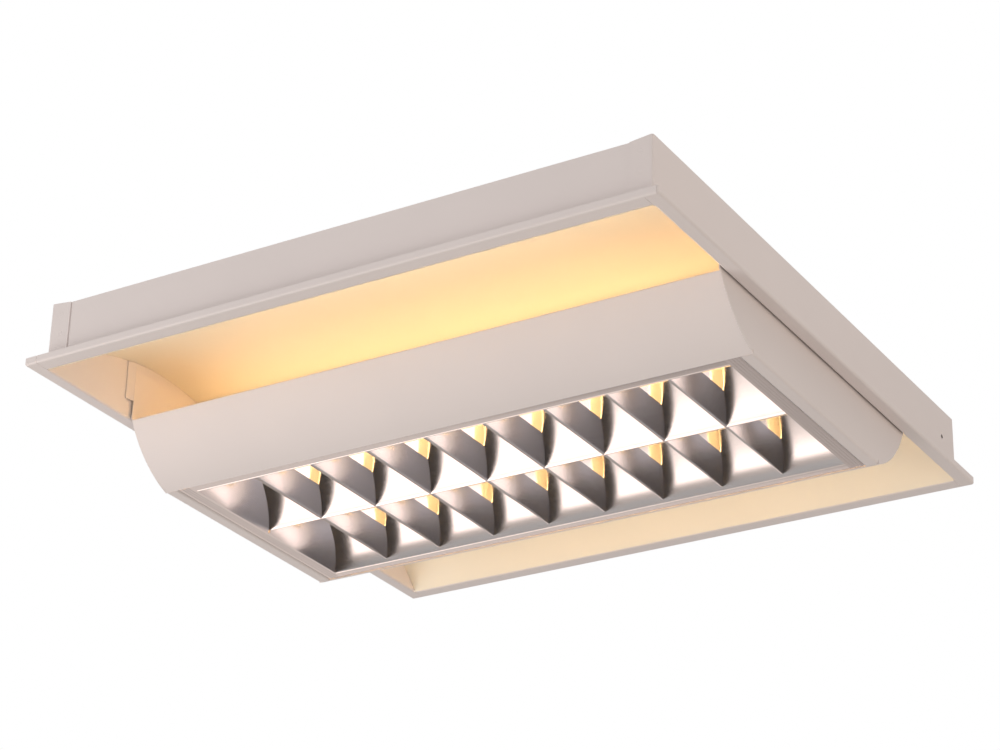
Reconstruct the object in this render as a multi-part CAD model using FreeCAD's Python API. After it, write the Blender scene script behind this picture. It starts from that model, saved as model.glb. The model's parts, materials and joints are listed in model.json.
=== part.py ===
"""Recessed troffer light for a 600 mm ceiling grid, with a drop box and a two-row mirror louvre.

Millimetres. X runs along the lamps, Y across them, Z up. The origin is the centre of the ceiling
opening, level with the underside of the flange. "Near" is the -Y side, "far" the +Y side,
"left" the -X end and "right" the +X end.
"""
import FreeCAD
import Part
import math
import os

Vec = FreeCAD.Vector
ABOUT_X = Vec(1, 0, 0)
ABOUT_Y = Vec(0, 1, 0)
ABOUT_Z = Vec(0, 0, 1)
SIDES = {"near": -1, "far": 1}
ENDS = {"left": -1, "right": 1}

# ---------------------------------------------------------------- driving dimensions
# Frame: four folded walls with an outward flange and an upturned lip.
MODULE = 595.0              # flange, outer edge to outer edge, both ways
SHEET = 0.8                 # steel sheet of the frame, roof, tray and drop box
BEND = 1.2                  # inner radius of a fold in that sheet
END_FLANGE = 12.6           # face width of the flange along the two end walls
SIDE_FLANGE = 15.4          # face width of the flange along the two side walls
LIP_HEIGHT = 6.6            # upturned outer lip
SIDE_WALL_HEIGHT = 58.5
END_WALL_HEIGHT = 60.5
TAB_LENGTH = 20.0           # the end walls' corner tabs, lapped onto the side walls
TAB_FOOT = 2.6              # lower edge of a tab above the flange's underside
SEAM = 0.3                  # slit where two pieces of the flange meet
FIT = 0.1                   # gap between sheets that lie against each other
CORNER_ROUND = 1.3          # inner radius of the lip at the flange's corners, seen from below
TIE_HOLE_RADIUS = 2.0       # hole for a tie wire, one in each end wall
TIE_HOLE_INSET = 27.0       # from the end wall's corner
TIE_HOLE_HEIGHT = 33.0

# Roof panel.
ROOF_EDGE = 12.0            # folded-down edges along the side walls
SUSPENSION_INSET_X = 34.9    # hole centres inside the end walls
SUSPENSION_INSET_Y = 32.1    # hole centres inside the side walls
SUSPENSION_HOLE_RADIUS = 3.25
CABLE_HOLE_RADIUS = 11.0
CABLE_ENTRY_INSET = 132.5    # grommet from the box's end
GROMMET_BORE_RADIUS = 5.0
GROMMET_RIM = 3.0
GROMMET_LENGTH = 6.0

# The two curved reflectors of the recess ("vaults"), given by their visible underside.
VAULT_SHEET = 0.5
VAULT_CROWN_INSET = 147.1    # crown line from the side wall
VAULT_CROWN_Z = 56.6
VAULT_CROWN_RADIUS = 268.0
VAULT_KNEE_INSET = 80.1      # knee from the side wall
VAULT_FOOT_Z = 0.5
VAULT_FOOT_INSET = 0.5

# Gear tray under the roof, between the vaults.
TRAY_MARGIN = 17.25          # flat floor beyond a lamp's axis
TRAY_UNDERSIDE_Z = 33.0
TRAY_SIDE_SPREAD = 4.0
TRAY_LIP = 10.0
SPACER_INSET = 32.5          # post from the box's end
SPACER_Y = 25.0
SPACER_RADIUS = 4.0
M3_RADIUS = 1.5
THREAD_GAP = 0.05
SCREW_REACH = 10.0
SCREW_HEAD_RADIUS = 3.0
SCREW_HEAD_HEIGHT = 2.0

# Ballast, terminals and wires on the tray.
BALLAST_SHORTFALL = 289.0    # how much shorter the ballast is than a lamp
BALLAST_WIDTH = 30.0
BALLAST_HEIGHT = 21.0
BALLAST_CENTRE_X = -20.0
BALLAST_FOOT = 12.0
BALLAST_FOOT_THICKNESS = 1.2
BALLAST_CORNER = 1.5
BLOCK_LENGTH = 14.0         # a ballast's terminal block, at each end of its case
BLOCK_WIDTH = 24.0
BLOCK_HEIGHT = 12.0
MAINS_BLOCK_INSET = 77.5     # block's centre from the box's end
MAINS_BLOCK_LENGTH = 20.0
MAINS_BLOCK_WIDTH = 34.0
MAINS_BLOCK_HEIGHT = 16.0
MAINS_BLOCK_POLES = 3
POLE_PITCH = 7.0
POLE_MOUTH_RADIUS = 1.6
EARTH_SCREW_INSET = 57.5     # from the box's end
EARTH_SCREW_OFFSET = 20.75   # from the near lamp's axis
EARTH_NUT_RADIUS = 4.5
EARTH_NUT_HEIGHT = 2.4
WIRE_RADIUS = 1.2
LAMP_WIRE_RADIUS = 1.5
WIRE_HEIGHT = 2.4           # wires' centres above the tray's floor
LAMP_WIRE_Y = 9.0
LAMP_WIRE_STRAIGHT = 26.0
LAMP_WIRE_CROSSING = 42.0
LAMP_WIRE_BEND = 24.0
CLIP_INSET = 37.5            # from the box's end
CLIP_LENGTH = 6.0
CLIP_WIDTH = 9.0
CLIP_WALL = 1.4

# Drop box below the ceiling plane.
BOX_END_GAP = 1.6           # end wall to the outer face of the box's ends
COVE_MOUTH = 110.6          # side wall to the upper edge of the box's curved side
BOX_DEPTH = 48.5            # underside of the rim below the ceiling plane
BOX_SIDE_RADIUS = 100.0
BOX_SIDE_RETURN = 8.0       # stiffening fold along the sides' upper edge
BOX_RIM_BEND = 2.2
RIM_WIDTH = 12.1            # rim at each end of the aperture
BOX_SIDE_REACH = 54.0       # how far a curved side leans in from top to rim
RIM_HEM = 4.0               # upturned hem of the rim at each end of the aperture
END_SLIT_HEIGHT = 17.0      # open slit beside the box's end, above the ceiling plane
END_PANEL_OVERHANG = 1.0    # panel beside the curved side's upper edge
END_WING = 9.0              # part bent back onto the end wall, above the slit
VAULT_GAP = 0.3

# Lamps and lampholders.
HOLDER_BACK_GAP = 0.2       # lampholder's back to the box's end
LAMP_Z = 12.0
GLASS_RADIUS = 8.0
GLASS_WALL = 0.8
CAP_RADIUS = 8.5
CAP_LENGTH = 15.0
CAP_DEPTH = 12.0            # how far the glass goes into its cap
CAP_GAP = 0.05
PIN_RADIUS = 1.2
PIN_PITCH = 4.75
PIN_LENGTH = 5.4
HOLDER_GAP = 0.3            # cap face to lampholder
HOLDER_DEPTH = 7.5
HOLDER_WIDTH = 24.0
HOLDER_BELOW_LAMP = 12.0
HOLDER_NECK_WIDTH = 16.0
HOLDER_HEAD_WIDTH = 20.0
HOLDER_HEAD_HEIGHT = 4.6
HOLDER_CORNER = 1.6
ROTOR_RADIUS = 9.0
ROTOR_THICKNESS = 6.2
ROTOR_GAP = 0.05            # running clearance of the rotor in its socket
ROTOR_WEB = 1.0
ROTOR_END_GAP = 0.2
PIN_SLOT_GAP = 0.15

# Louvre: two rows of cells in thin mirror aluminium.
CELLS = 9
END_STRIP = 12.95           # louvre's flat strip at each end
ALUMINIUM = 0.5
APERTURE_GAP = 0.6          # play between louvre and aperture, across
APERTURE_END_GAP = 0.4      # the same, lengthwise
LOUVRE_RECESS = 1.0         # louvre's underside above the rim's underside
BLADE_RAISE = 2.9           # blades' and divider's lower edge above the louvre's underside
RAIL_WIDTH = 11.4           # flat strip along each long side
LOUVRE_TOP_Z = -5.0
BLADE_HEIGHT = 26.0
BLADE_TOP_HALF_WIDTH = 6.0
NOSE_HALF_WIDTH = 0.6
BLADE_BOW = 0.5             # how far a blade's face is hollowed
DIVIDER_TOP_HALF_WIDTH = 28.0
DIVIDER_BOW = 2.4
REFLECTOR_BOW = 4.5         # deeper than the divider's, so that its foot stands nearly upright
END_PLATE_LEAN = 8.0
END_PLATE_BOW = 0.9
OUTER_LIP = 7.5
END_LIP = 6.0               # lip along each end, low enough to pass under the catches
HINGE_EAR = 14.0            # width of the ear on that lip, round the hinge pin
ROW_GAP = 0.05              # blades' ends to the reflectors they stand between

# Louvre hinge and magnet catches.
HINGE_INSET_Y = 8.2         # hinge line inside the aperture's far edge
HINGE_RAISE = 8.5           # hinge line above the rim's underside
HINGE_PIN_RADIUS = 2.0
HINGE_GAP = 0.05
HINGE_PIN_HEAD_RADIUS = 3.5
HINGE_PIN_HEAD = 1.4
BRACKET_OFFSET = 2.8        # bracket's near face beyond the aperture's end
BRACKET_THICKNESS = 2.0
BRACKET_WIDTH = 14.0
BRACKET_ABOVE_PIN = 6.0
BRACKET_FOOT = 5.5
CATCH_INSET_Y = 21.9         # magnets' centres inside the louvre's near edge
CATCH_WIDTH = 18.0
CATCH_SHEET = 1.2
CATCH_REACH = 21.0
CATCH_BACK = 14.0
MAGNET_LENGTH = 8.0
MAGNET_WIDTH = 16.0
MAGNET_HEIGHT = 5.0
KEEPER_THICKNESS = 1.0
MAGNET_GAP = 0.3

# ---------------------------------------------------------------- places worked out from them
HALF_MODULE = MODULE / 2
WALL_X = HALF_MODULE - END_FLANGE
WALL_Y = HALF_MODULE - SIDE_FLANGE
OUTER_BEND = BEND + SHEET
ROOF_TOP = SIDE_WALL_HEIGHT
ROOF_UNDERSIDE = ROOF_TOP - SHEET
TRAY_FLOOR = TRAY_UNDERSIDE_Z + SHEET
BOX_END_X = WALL_X - BOX_END_GAP
BOX_END_INNER = BOX_END_X - SHEET
BOX_TOP_HALF_WIDTH = WALL_Y - COVE_MOUTH
END_PANEL_HALF_WIDTH = BOX_TOP_HALF_WIDTH + END_PANEL_OVERHANG
APERTURE_HALF_X = BOX_END_X - RIM_WIDTH
APERTURE_HALF_Y = BOX_TOP_HALF_WIDTH - BOX_SIDE_REACH
VAULT_CROWN_Y = WALL_Y - VAULT_CROWN_INSET
VAULT_KNEE_Y = WALL_Y - VAULT_KNEE_INSET
LOUVRE_Z = LOUVRE_RECESS - BOX_DEPTH
BLADE_EDGE_Z = LOUVRE_Z + BLADE_RAISE
LOUVRE_HALF_X = APERTURE_HALF_X - APERTURE_END_GAP
LOUVRE_HALF_Y = APERTURE_HALF_Y - APERTURE_GAP
REFLECTOR_FOOT_Y = LOUVRE_HALF_Y - RAIL_WIDTH
CELLS_HALF_X = LOUVRE_HALF_X - END_STRIP
CELL_PITCH = 2 * CELLS_HALF_X / CELLS
ROW_Y = REFLECTOR_FOOT_Y / 2
REFLECTOR_TOP_Y = 2 * ROW_Y - DIVIDER_TOP_HALF_WIDTH
HINGE_Y = APERTURE_HALF_Y - HINGE_INSET_Y
HINGE_Z = HINGE_RAISE - BOX_DEPTH
CATCH_Y = CATCH_INSET_Y - LOUVRE_HALF_Y
HOLDER_BACK = BOX_END_INNER - HOLDER_BACK_GAP
HOLDER_FACE = HOLDER_BACK - HOLDER_DEPTH
LAMP_LENGTH = 2 * (HOLDER_FACE - HOLDER_GAP)    # cap face to cap face, 549 on a 14 W tube
TRAY_HALF_WIDTH = ROW_Y + TRAY_MARGIN
BALLAST_LENGTH = LAMP_LENGTH - BALLAST_SHORTFALL
SPACER_X = BOX_END_INNER - SPACER_INSET
CLIP_X = BOX_END_INNER - CLIP_INSET
MAINS_BLOCK_X = BOX_END_INNER - MAINS_BLOCK_INSET
CABLE_ENTRY_X = BOX_END_INNER - CABLE_ENTRY_INSET
EARTH_SCREW_X = BOX_END_INNER - EARTH_SCREW_INSET
EARTH_SCREW_Y = EARTH_SCREW_OFFSET - ROW_Y
SUSPENSION_X = WALL_X - SUSPENSION_INSET_X
SUSPENSION_Y = WALL_Y - SUSPENSION_INSET_Y


# ---------------------------------------------------------------- drawing helpers
def box(x0, x1, y0, y1, z0, z1):
    """A block between two corners, given in any order."""
    low = Vec(min(x0, x1), min(y0, y1), min(z0, z1))
    high = Vec(max(x0, x1), max(y0, y1), max(z0, z1))
    size = high - low
    return Part.makeBox(size.x, size.y, size.z, low)


def rod(radius, start, end):
    """A round bar from one point to another."""
    along = end - start
    return Part.makeCylinder(radius, along.Length, start, along)


def in_yz(y, z):
    return Vec(0, y, z)


def in_xz(x, z):
    return Vec(x, 0, z)


def in_xy(x, y):
    return Vec(x, y, 0)


def line(start, end):
    return Part.LineSegment(start, end).toShape()


def bowed(start, end, bow, plane_normal):
    """An arc between two points whose middle stands off the chord by bow, to the chord's left."""
    chord = end - start
    left = plane_normal.cross(chord).normalize()
    middle = (start + end) * 0.5 + left * bow
    return Part.Arc(start, middle, end).toShape()


def arc_about(centre, radius, start, end):
    """The shorter arc between two points of a circle."""
    middle = ((start + end) * 0.5 - centre).normalize() * radius + centre
    return Part.Arc(start, middle, end).toShape()


def rounded_path(points, radius):
    """Straight runs through the points, each corner rounded to the radius."""
    edges = []
    start = points[0]
    for corner, following in zip(points[1:-1], points[2:]):
        before = (start - corner).normalize()
        after = (following - corner).normalize()
        half_angle = before.getAngle(after) / 2
        reach = radius / math.tan(half_angle)
        first = corner + before * reach
        last = corner + after * reach
        to_centre = (before + after).normalize() * (radius / math.sin(half_angle))
        edges.append(line(start, first))
        edges.append(arc_about(corner + to_centre, radius, first, last))
        start = last
    edges.append(line(start, points[-1]))
    return edges


def folded_sheet(edges, thickness, length, centre=0.0, towards=None):
    """Sheet metal: a bent path given its thickness on one side, then drawn along its axis.

    The path lies in a plane square to X, Y or Z. towards is a point on the side that the
    thickness goes to.
    """
    path = Part.Wire(edges)
    bounds = path.BoundBox
    axis = ABOUT_X
    if bounds.YLength < bounds.XLength and bounds.YLength < bounds.ZLength:
        axis = ABOUT_Y
    if bounds.ZLength < bounds.XLength and bounds.ZLength < bounds.YLength:
        axis = ABOUT_Z
    faces = [path.makeOffset2D(side * thickness, join=0, fill=True, openResult=True) for side in (1, -1)]
    faces.sort(key=lambda face: face.distToShape(Part.Vertex(towards))[0])
    face = faces[0].Faces[0]
    face.translate(axis * (centre - length / 2))
    return face.extrude(axis * length)


def plate_from(edges, axis, start, length):
    """A closed outline drawn along an axis from a start place."""
    face = Part.Face(Part.Wire(edges))
    face.translate(axis * start)
    return face.extrude(axis * length)


def outline(points):
    return [line(a, b) for a, b in zip(points, points[1:] + points[:1])]


def mirror_end(shape):
    return shape.mirror(Vec(0, 0, 0), ABOUT_X)


def mirror_side(shape):
    return shape.mirror(Vec(0, 0, 0), ABOUT_Y)


def for_end(shape, sign):
    """A piece drawn at the right end, put at the end of that sign."""
    return shape if sign > 0 else mirror_end(shape)


def for_side(shape, sign):
    """A piece drawn at the far side, put at the side of that sign."""
    return shape if sign > 0 else mirror_side(shape)


def turned_for(shape, sign):
    """A piece drawn at the far side or right end, turned half round for the opposite one."""
    if sign < 0:
        shape.rotate(Vec(0, 0, 0), ABOUT_Z, 180)
    return shape


def fuse(first, *others):
    return first.multiFuse(list(others)).removeSplitter()


def screw_hole(x, y, bottom, top):
    """Clearance hole for an M3 screw through a sheet that lies between two heights."""
    return rod(M3_RADIUS + THREAD_GAP, Vec(x, y, bottom - 1), Vec(x, y, top + 1))


def pan_screw(x, y, head_z, up, reach):
    """A pan-head screw, its head's seat at head_z, its shank going up (+1) or down (-1)."""
    seat = Vec(x, y, head_z)
    shank = rod(M3_RADIUS, seat, seat + ABOUT_Z * (up * reach))
    head = rod(SCREW_HEAD_RADIUS, seat - ABOUT_Z * (up * SCREW_HEAD_HEIGHT), seat)
    outer = [e for e in head.Edges if abs(e.BoundBox.ZMin - (head_z - up * SCREW_HEAD_HEIGHT)) < 0.01
             and e.BoundBox.ZLength < 0.01]
    head = head.makeFillet(SCREW_HEAD_HEIGHT * 0.45, outer)
    return fuse(head, shank)


# ---------------------------------------------------------------- frame
def shallow_pan():
    """The flange and lip in one piece, before it is parted at its corners."""
    outer = box(-HALF_MODULE, HALF_MODULE, -HALF_MODULE, HALF_MODULE, 0, LIP_HEIGHT)
    upright = [e for e in outer.Edges if e.BoundBox.ZLength > LIP_HEIGHT / 2]
    outer = outer.makeFillet(CORNER_ROUND + SHEET, upright)
    foot = [e for e in outer.Edges if e.BoundBox.ZMax < 0.01]
    outer = outer.makeFillet(OUTER_BEND, foot)
    reach = HALF_MODULE - SHEET
    inner = box(-reach, reach, -reach, reach, SHEET, LIP_HEIGHT + 1)
    upright = [e for e in inner.Edges if e.BoundBox.ZLength > LIP_HEIGHT / 2]
    inner = inner.makeFillet(CORNER_ROUND, upright)
    foot = [e for e in inner.Edges if e.BoundBox.ZMax < SHEET + 0.01]
    inner = inner.makeFillet(BEND, foot)
    return outer.cut(inner)


LIP_CORNER = CORNER_ROUND + SHEET


def corner_lip(gap):
    """Where the far side's lip runs on past the left end wall's flange to the corner."""
    return box(-HALF_MODULE + LIP_CORNER - gap, -WALL_X + SEAM,
               HALF_MODULE - OUTER_BEND - gap, HALF_MODULE + 1, -1, LIP_HEIGHT + 1)


def side_wall(pan):
    """Side wall on the far side: wall, fold and flange between the end walls, and a lip that
    runs on to the left corner."""
    fold_width = OUTER_BEND * 2
    path = rounded_path([in_yz(WALL_Y, SIDE_WALL_HEIGHT), in_yz(WALL_Y, 0),
                         in_yz(WALL_Y + fold_width, 0)], OUTER_BEND)
    reach = WALL_X - SEAM / 2
    wall = folded_sheet(path, SHEET, 2 * reach, towards=in_yz(WALL_Y + fold_width, SIDE_WALL_HEIGHT))
    keep = box(-reach, reach, WALL_Y + fold_width, HALF_MODULE, 0, LIP_HEIGHT)
    corner = box(WALL_X - BEND - FIT, WALL_X, WALL_Y - 1, WALL_Y + fold_width,
                 TAB_FOOT - FIT, SIDE_WALL_HEIGHT)
    flange = pan.common(fuse(keep, corner_lip(0)))
    return fuse(wall, flange).cut(corner).cut(mirror_end(corner))


def end_wall(pan):
    """Right end wall: wall with two corner tabs, fold, and flange across the full width, less
    the near side's lip at the near corner."""
    lap_y = WALL_Y + SHEET + FIT
    corner_x = WALL_X + SHEET
    plan = rounded_path([in_xy(corner_x - TAB_LENGTH, -lap_y), in_xy(WALL_X, -lap_y),
                         in_xy(WALL_X, lap_y), in_xy(corner_x - TAB_LENGTH, lap_y)], BEND)
    height = END_WALL_HEIGHT - TAB_FOOT
    wall = folded_sheet(plan, SHEET, height, centre=TAB_FOOT + height / 2, towards=in_xy(HALF_MODULE, 0))
    slope_start = WALL_X - BEND
    above_tab = plate_from(outline([in_xz(slope_start, END_WALL_HEIGHT),
                                    in_xz(corner_x - TAB_LENGTH, SIDE_WALL_HEIGHT),
                                    in_xz(0, SIDE_WALL_HEIGHT),
                                    in_xz(0, END_WALL_HEIGHT + 1),
                                    in_xz(slope_start, END_WALL_HEIGHT + 1)]),
                           ABOUT_Y, -HALF_MODULE, MODULE)
    wall = wall.cut(above_tab)
    fold_width = OUTER_BEND * 2
    path = rounded_path([in_xz(WALL_X, TAB_FOOT * 2), in_xz(WALL_X, 0),
                         in_xz(WALL_X + fold_width, 0)], OUTER_BEND)
    fold_reach = WALL_Y - BEND
    fold = folded_sheet(path, SHEET, 2 * fold_reach, towards=in_xz(WALL_X + fold_width, TAB_FOOT * 2))
    strip = pan.common(box(WALL_X + fold_width, HALF_MODULE, -HALF_MODULE, HALF_MODULE, 0, LIP_HEIGHT))
    corner = box(WALL_X + SEAM / 2, WALL_X + fold_width, fold_reach, HALF_MODULE, 0, LIP_HEIGHT)
    corners = [pan.common(corner), pan.common(mirror_side(corner))]
    near_lip = corner_lip(SEAM)
    near_lip.rotate(Vec(0, 0, 0), ABOUT_Z, 180)
    whole = fuse(wall, fold, strip, *corners).cut(near_lip)
    hole_y = lap_y - TIE_HOLE_INSET
    hole = rod(TIE_HOLE_RADIUS, Vec(WALL_X - 1, hole_y, TIE_HOLE_HEIGHT),
               Vec(corner_x + 1, hole_y, TIE_HOLE_HEIGHT))
    return whole.cut(hole)


def roof_panel():
    """Flat roof with its long edges folded down inside the side walls."""
    reach_y = WALL_Y - FIT
    reach_x = WALL_X - FIT
    path = rounded_path([in_yz(-reach_y, ROOF_TOP - ROOF_EDGE), in_yz(-reach_y, ROOF_TOP),
                         in_yz(reach_y, ROOF_TOP), in_yz(reach_y, ROOF_TOP - ROOF_EDGE)], OUTER_BEND)
    roof = folded_sheet(path, SHEET, 2 * reach_x, towards=in_yz(0, 0))
    holes = []
    for sx in (-1, 1):
        for sy in (-1, 1):
            x = sx * SUSPENSION_X
            y = sy * SUSPENSION_Y
            holes.append(rod(SUSPENSION_HOLE_RADIUS, Vec(x, y, ROOF_UNDERSIDE - 1), Vec(x, y, ROOF_TOP + 1)))
            x = sx * SPACER_X
            y = sy * SPACER_Y
            holes.append(screw_hole(x, y, ROOF_UNDERSIDE, ROOF_TOP))
    holes.append(rod(CABLE_HOLE_RADIUS, Vec(CABLE_ENTRY_X, 0, ROOF_UNDERSIDE - 1),
                     Vec(CABLE_ENTRY_X, 0, ROOF_TOP + 1)))
    return roof.cut(Part.makeCompound(holes))


def cable_grommet():
    """Rubber grommet, its waist in the roof's hole."""
    middle = ROOF_TOP - SHEET / 2
    bottom = Vec(CABLE_ENTRY_X, 0, middle - GROMMET_LENGTH / 2)
    top = Vec(CABLE_ENTRY_X, 0, middle + GROMMET_LENGTH / 2)
    ring = rod(CABLE_HOLE_RADIUS + GROMMET_RIM, bottom, top)
    rims = [e for e in ring.Edges if e.BoundBox.ZLength < 0.01]
    ring = ring.makeFillet(GROMMET_LENGTH * 0.3, rims)
    groove_bottom = Vec(CABLE_ENTRY_X, 0, ROOF_UNDERSIDE - FIT)
    groove_top = Vec(CABLE_ENTRY_X, 0, ROOF_TOP + FIT)
    groove = rod(CABLE_HOLE_RADIUS + 2 * GROMMET_RIM, groove_bottom, groove_top)
    groove = groove.cut(rod(CABLE_HOLE_RADIUS - FIT, groove_bottom, groove_top))
    bore = rod(GROMMET_BORE_RADIUS, bottom - ABOUT_Z, top + ABOUT_Z)
    return ring.cut(groove).cut(bore)


# ---------------------------------------------------------------- vaults and gear tray
CROWN_CENTRE = in_yz(VAULT_CROWN_Y, VAULT_CROWN_Z - VAULT_CROWN_RADIUS)


def crown_z(y):
    """Height of a vault's underside over its crown arc."""
    run = y - VAULT_CROWN_Y
    return CROWN_CENTRE.z + math.sqrt(VAULT_CROWN_RADIUS ** 2 - run ** 2)


VAULT_INNER_Y = TRAY_HALF_WIDTH + TRAY_SIDE_SPREAD + 2 * FIT + SHEET
VAULT_FOOT = in_yz(WALL_Y - VAULT_FOOT_INSET, VAULT_FOOT_Z)


def vault_path():
    """Underside of the far vault: crown arc from the tray out to the knee, then a tighter arc
    down to the foot, the two tangent at the knee."""
    inner = in_yz(VAULT_INNER_Y, crown_z(VAULT_INNER_Y))
    knee = in_yz(VAULT_KNEE_Y, crown_z(VAULT_KNEE_Y))
    crown = in_yz(VAULT_CROWN_Y, VAULT_CROWN_Z)
    inward = (CROWN_CENTRE - knee).normalize()
    chord = VAULT_FOOT - knee
    radius = chord.dot(chord) / (2 * chord.dot(inward))
    centre = knee + inward * radius
    return [Part.Arc(inner, crown, knee).toShape(), arc_about(centre, radius, knee, VAULT_FOOT)]


def vault():
    return folded_sheet(vault_path(), VAULT_SHEET, 2 * (WALL_X - SEAM),
                        towards=in_yz(VAULT_KNEE_Y, ROOF_TOP * 2))


def under_vaults():
    """Everything below the vaults and the tray, less a small gap: it trims the box's ends."""
    path = vault_path()
    edge = in_yz(VAULT_INNER_Y, crown_z(VAULT_INNER_Y))
    tray_z = TRAY_UNDERSIDE_Z
    deep = -2 * BOX_DEPTH
    tray_corner = TRAY_HALF_WIDTH + TRAY_SIDE_SPREAD + TRAY_LIP + SHEET
    points = [VAULT_FOOT, in_yz(WALL_Y + 1, VAULT_FOOT_Z), in_yz(WALL_Y + 1, deep), in_yz(0, deep),
              in_yz(0, crown_z(VAULT_INNER_Y)), edge]
    edges = path + [line(a, b) for a, b in zip(points, points[1:])]
    below = plate_from(edges, ABOUT_X, -HALF_MODULE, MODULE)
    below = below.cut(box(-HALF_MODULE, HALF_MODULE, -1, tray_corner, tray_z, ROOF_TOP))
    below.translate(ABOUT_Z * -VAULT_GAP)
    return fuse(below, mirror_side(below))


def gear_tray():
    """White tray under the roof that carries the ballast and the lampholders."""
    lip_in = TRAY_HALF_WIDTH + TRAY_SIDE_SPREAD
    lip_out = lip_in + TRAY_LIP
    lip_drop = FIT + SHEET
    right = [in_yz(TRAY_HALF_WIDTH, TRAY_UNDERSIDE_Z),
             in_yz(lip_in, crown_z(lip_in) - lip_drop),
             in_yz(lip_out, crown_z(lip_out) - lip_drop)]
    left = [Vec(0, -p.y, p.z) for p in reversed(right)]
    tray = folded_sheet(rounded_path(left + right, BEND), SHEET, 2 * (WALL_X - SEAM),
                        towards=in_yz(0, ROOF_TOP * 2))
    cuts = []
    for sx in (-1, 1):
        for sy in (-1, 1):
            neck = HOLDER_NECK_WIDTH / 2 + FIT
            cuts.append(box(sx * (HOLDER_FACE - FIT), sx * HALF_MODULE, sy * ROW_Y - neck, sy * ROW_Y + neck,
                            TRAY_UNDERSIDE_Z - 1, TRAY_FLOOR + 1))
            x = sx * SPACER_X
            y = sy * SPACER_Y
            cuts.append(screw_hole(x, y, TRAY_UNDERSIDE_Z, TRAY_FLOOR))
    for x, y in ballast_screw_places() + [(EARTH_SCREW_X, EARTH_SCREW_Y)]:
        cuts.append(screw_hole(x, y, TRAY_UNDERSIDE_Z, TRAY_FLOOR))
    return tray.cut(Part.makeCompound(cuts))


def tray_spacers():
    """Four posts between the tray's floor and the roof, bored for a screw at each end."""
    posts = []
    for sx in (-1, 1):
        for sy in (-1, 1):
            foot = Vec(sx * SPACER_X, sy * SPACER_Y, TRAY_FLOOR)
            top = Vec(foot.x, foot.y, ROOF_UNDERSIDE)
            posts.append(rod(SPACER_RADIUS, foot, top).cut(rod(M3_RADIUS + THREAD_GAP, foot, top)))
    return Part.makeCompound(posts)


def tray_screws():
    """Screws that hold the tray from below and the posts from above."""
    screws = []
    for sx in (-1, 1):
        for sy in (-1, 1):
            screws.append(pan_screw(sx * SPACER_X, sy * SPACER_Y, TRAY_UNDERSIDE_Z, 1, SCREW_REACH))
            screws.append(pan_screw(sx * SPACER_X, sy * SPACER_Y, ROOF_TOP, -1, SCREW_REACH))
    return Part.makeCompound(screws)


# ---------------------------------------------------------------- ballast, terminals and wires
BALLAST_LEFT = BALLAST_CENTRE_X - BALLAST_LENGTH / 2
BALLAST_RIGHT = BALLAST_CENTRE_X + BALLAST_LENGTH / 2
WIRE_Z = TRAY_FLOOR + WIRE_HEIGHT


def ballast_screw_places():
    """The ballast's two fixing holes, one in each foot, beside the terminal block."""
    y = BALLAST_WIDTH / 2 + BALLAST_FOOT / 2
    return [(BALLAST_LEFT + BALLAST_FOOT, y), (BALLAST_RIGHT - BALLAST_FOOT, -y)]


def ballast_case():
    """Long slim metal case with a pocket for a terminal block at each end and two side feet."""
    half = BALLAST_WIDTH / 2
    base = TRAY_FLOOR
    case = box(BALLAST_LEFT, BALLAST_RIGHT, -half, half, base, base + BALLAST_HEIGHT)
    long_edges = [e for e in case.Edges if e.BoundBox.XLength > BALLAST_LENGTH / 2
                  and e.BoundBox.ZMin > base + BALLAST_HEIGHT / 2]
    case = case.makeFillet(BALLAST_CORNER, long_edges)
    pocket_half = BLOCK_WIDTH / 2 + FIT
    for end, inward in ((BALLAST_LEFT, 1), (BALLAST_RIGHT, -1)):
        case = case.cut(box(end - inward, end + inward * (BLOCK_LENGTH + FIT), -pocket_half, pocket_half,
                            base - 1, base + BLOCK_HEIGHT + FIT))
    feet = []
    for x, y in ballast_screw_places():
        side = 1 if y > 0 else -1
        top = base + BALLAST_FOOT_THICKNESS
        foot = box(x - BALLAST_FOOT / 2, x + BALLAST_FOOT / 2, side * (half - 1),
                   side * (half + BALLAST_FOOT), base, top)
        feet.append(foot.cut(screw_hole(x, y, base, top)))
    return fuse(case, *feet)


def ballast_terminals():
    """Push-in terminal blocks in the ballast's two ends."""
    blocks = []
    pitch = BLOCK_WIDTH / 4
    for end, inward in ((BALLAST_LEFT, 1), (BALLAST_RIGHT, -1)):
        block = box(end, end + inward * BLOCK_LENGTH, -BLOCK_WIDTH / 2, BLOCK_WIDTH / 2,
                    TRAY_FLOOR, TRAY_FLOOR + BLOCK_HEIGHT)
        for step in (-1.5, -0.5, 0.5, 1.5):
            mouth = Vec(end, step * pitch, TRAY_FLOOR + BLOCK_HEIGHT * 0.72)
            inside = mouth + ABOUT_X * (inward * 3)
            block = block.cut(rod(POLE_MOUTH_RADIUS, mouth - ABOUT_X * inward, inside))
        blocks.append(block)
    return Part.makeCompound(blocks)


def ballast_screws():
    seat = TRAY_FLOOR + BALLAST_FOOT_THICKNESS
    reach = seat - TRAY_UNDERSIDE_Z + SCREW_HEAD_HEIGHT
    return Part.makeCompound([pan_screw(x, y, seat, -1, reach) for x, y in ballast_screw_places()])


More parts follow.
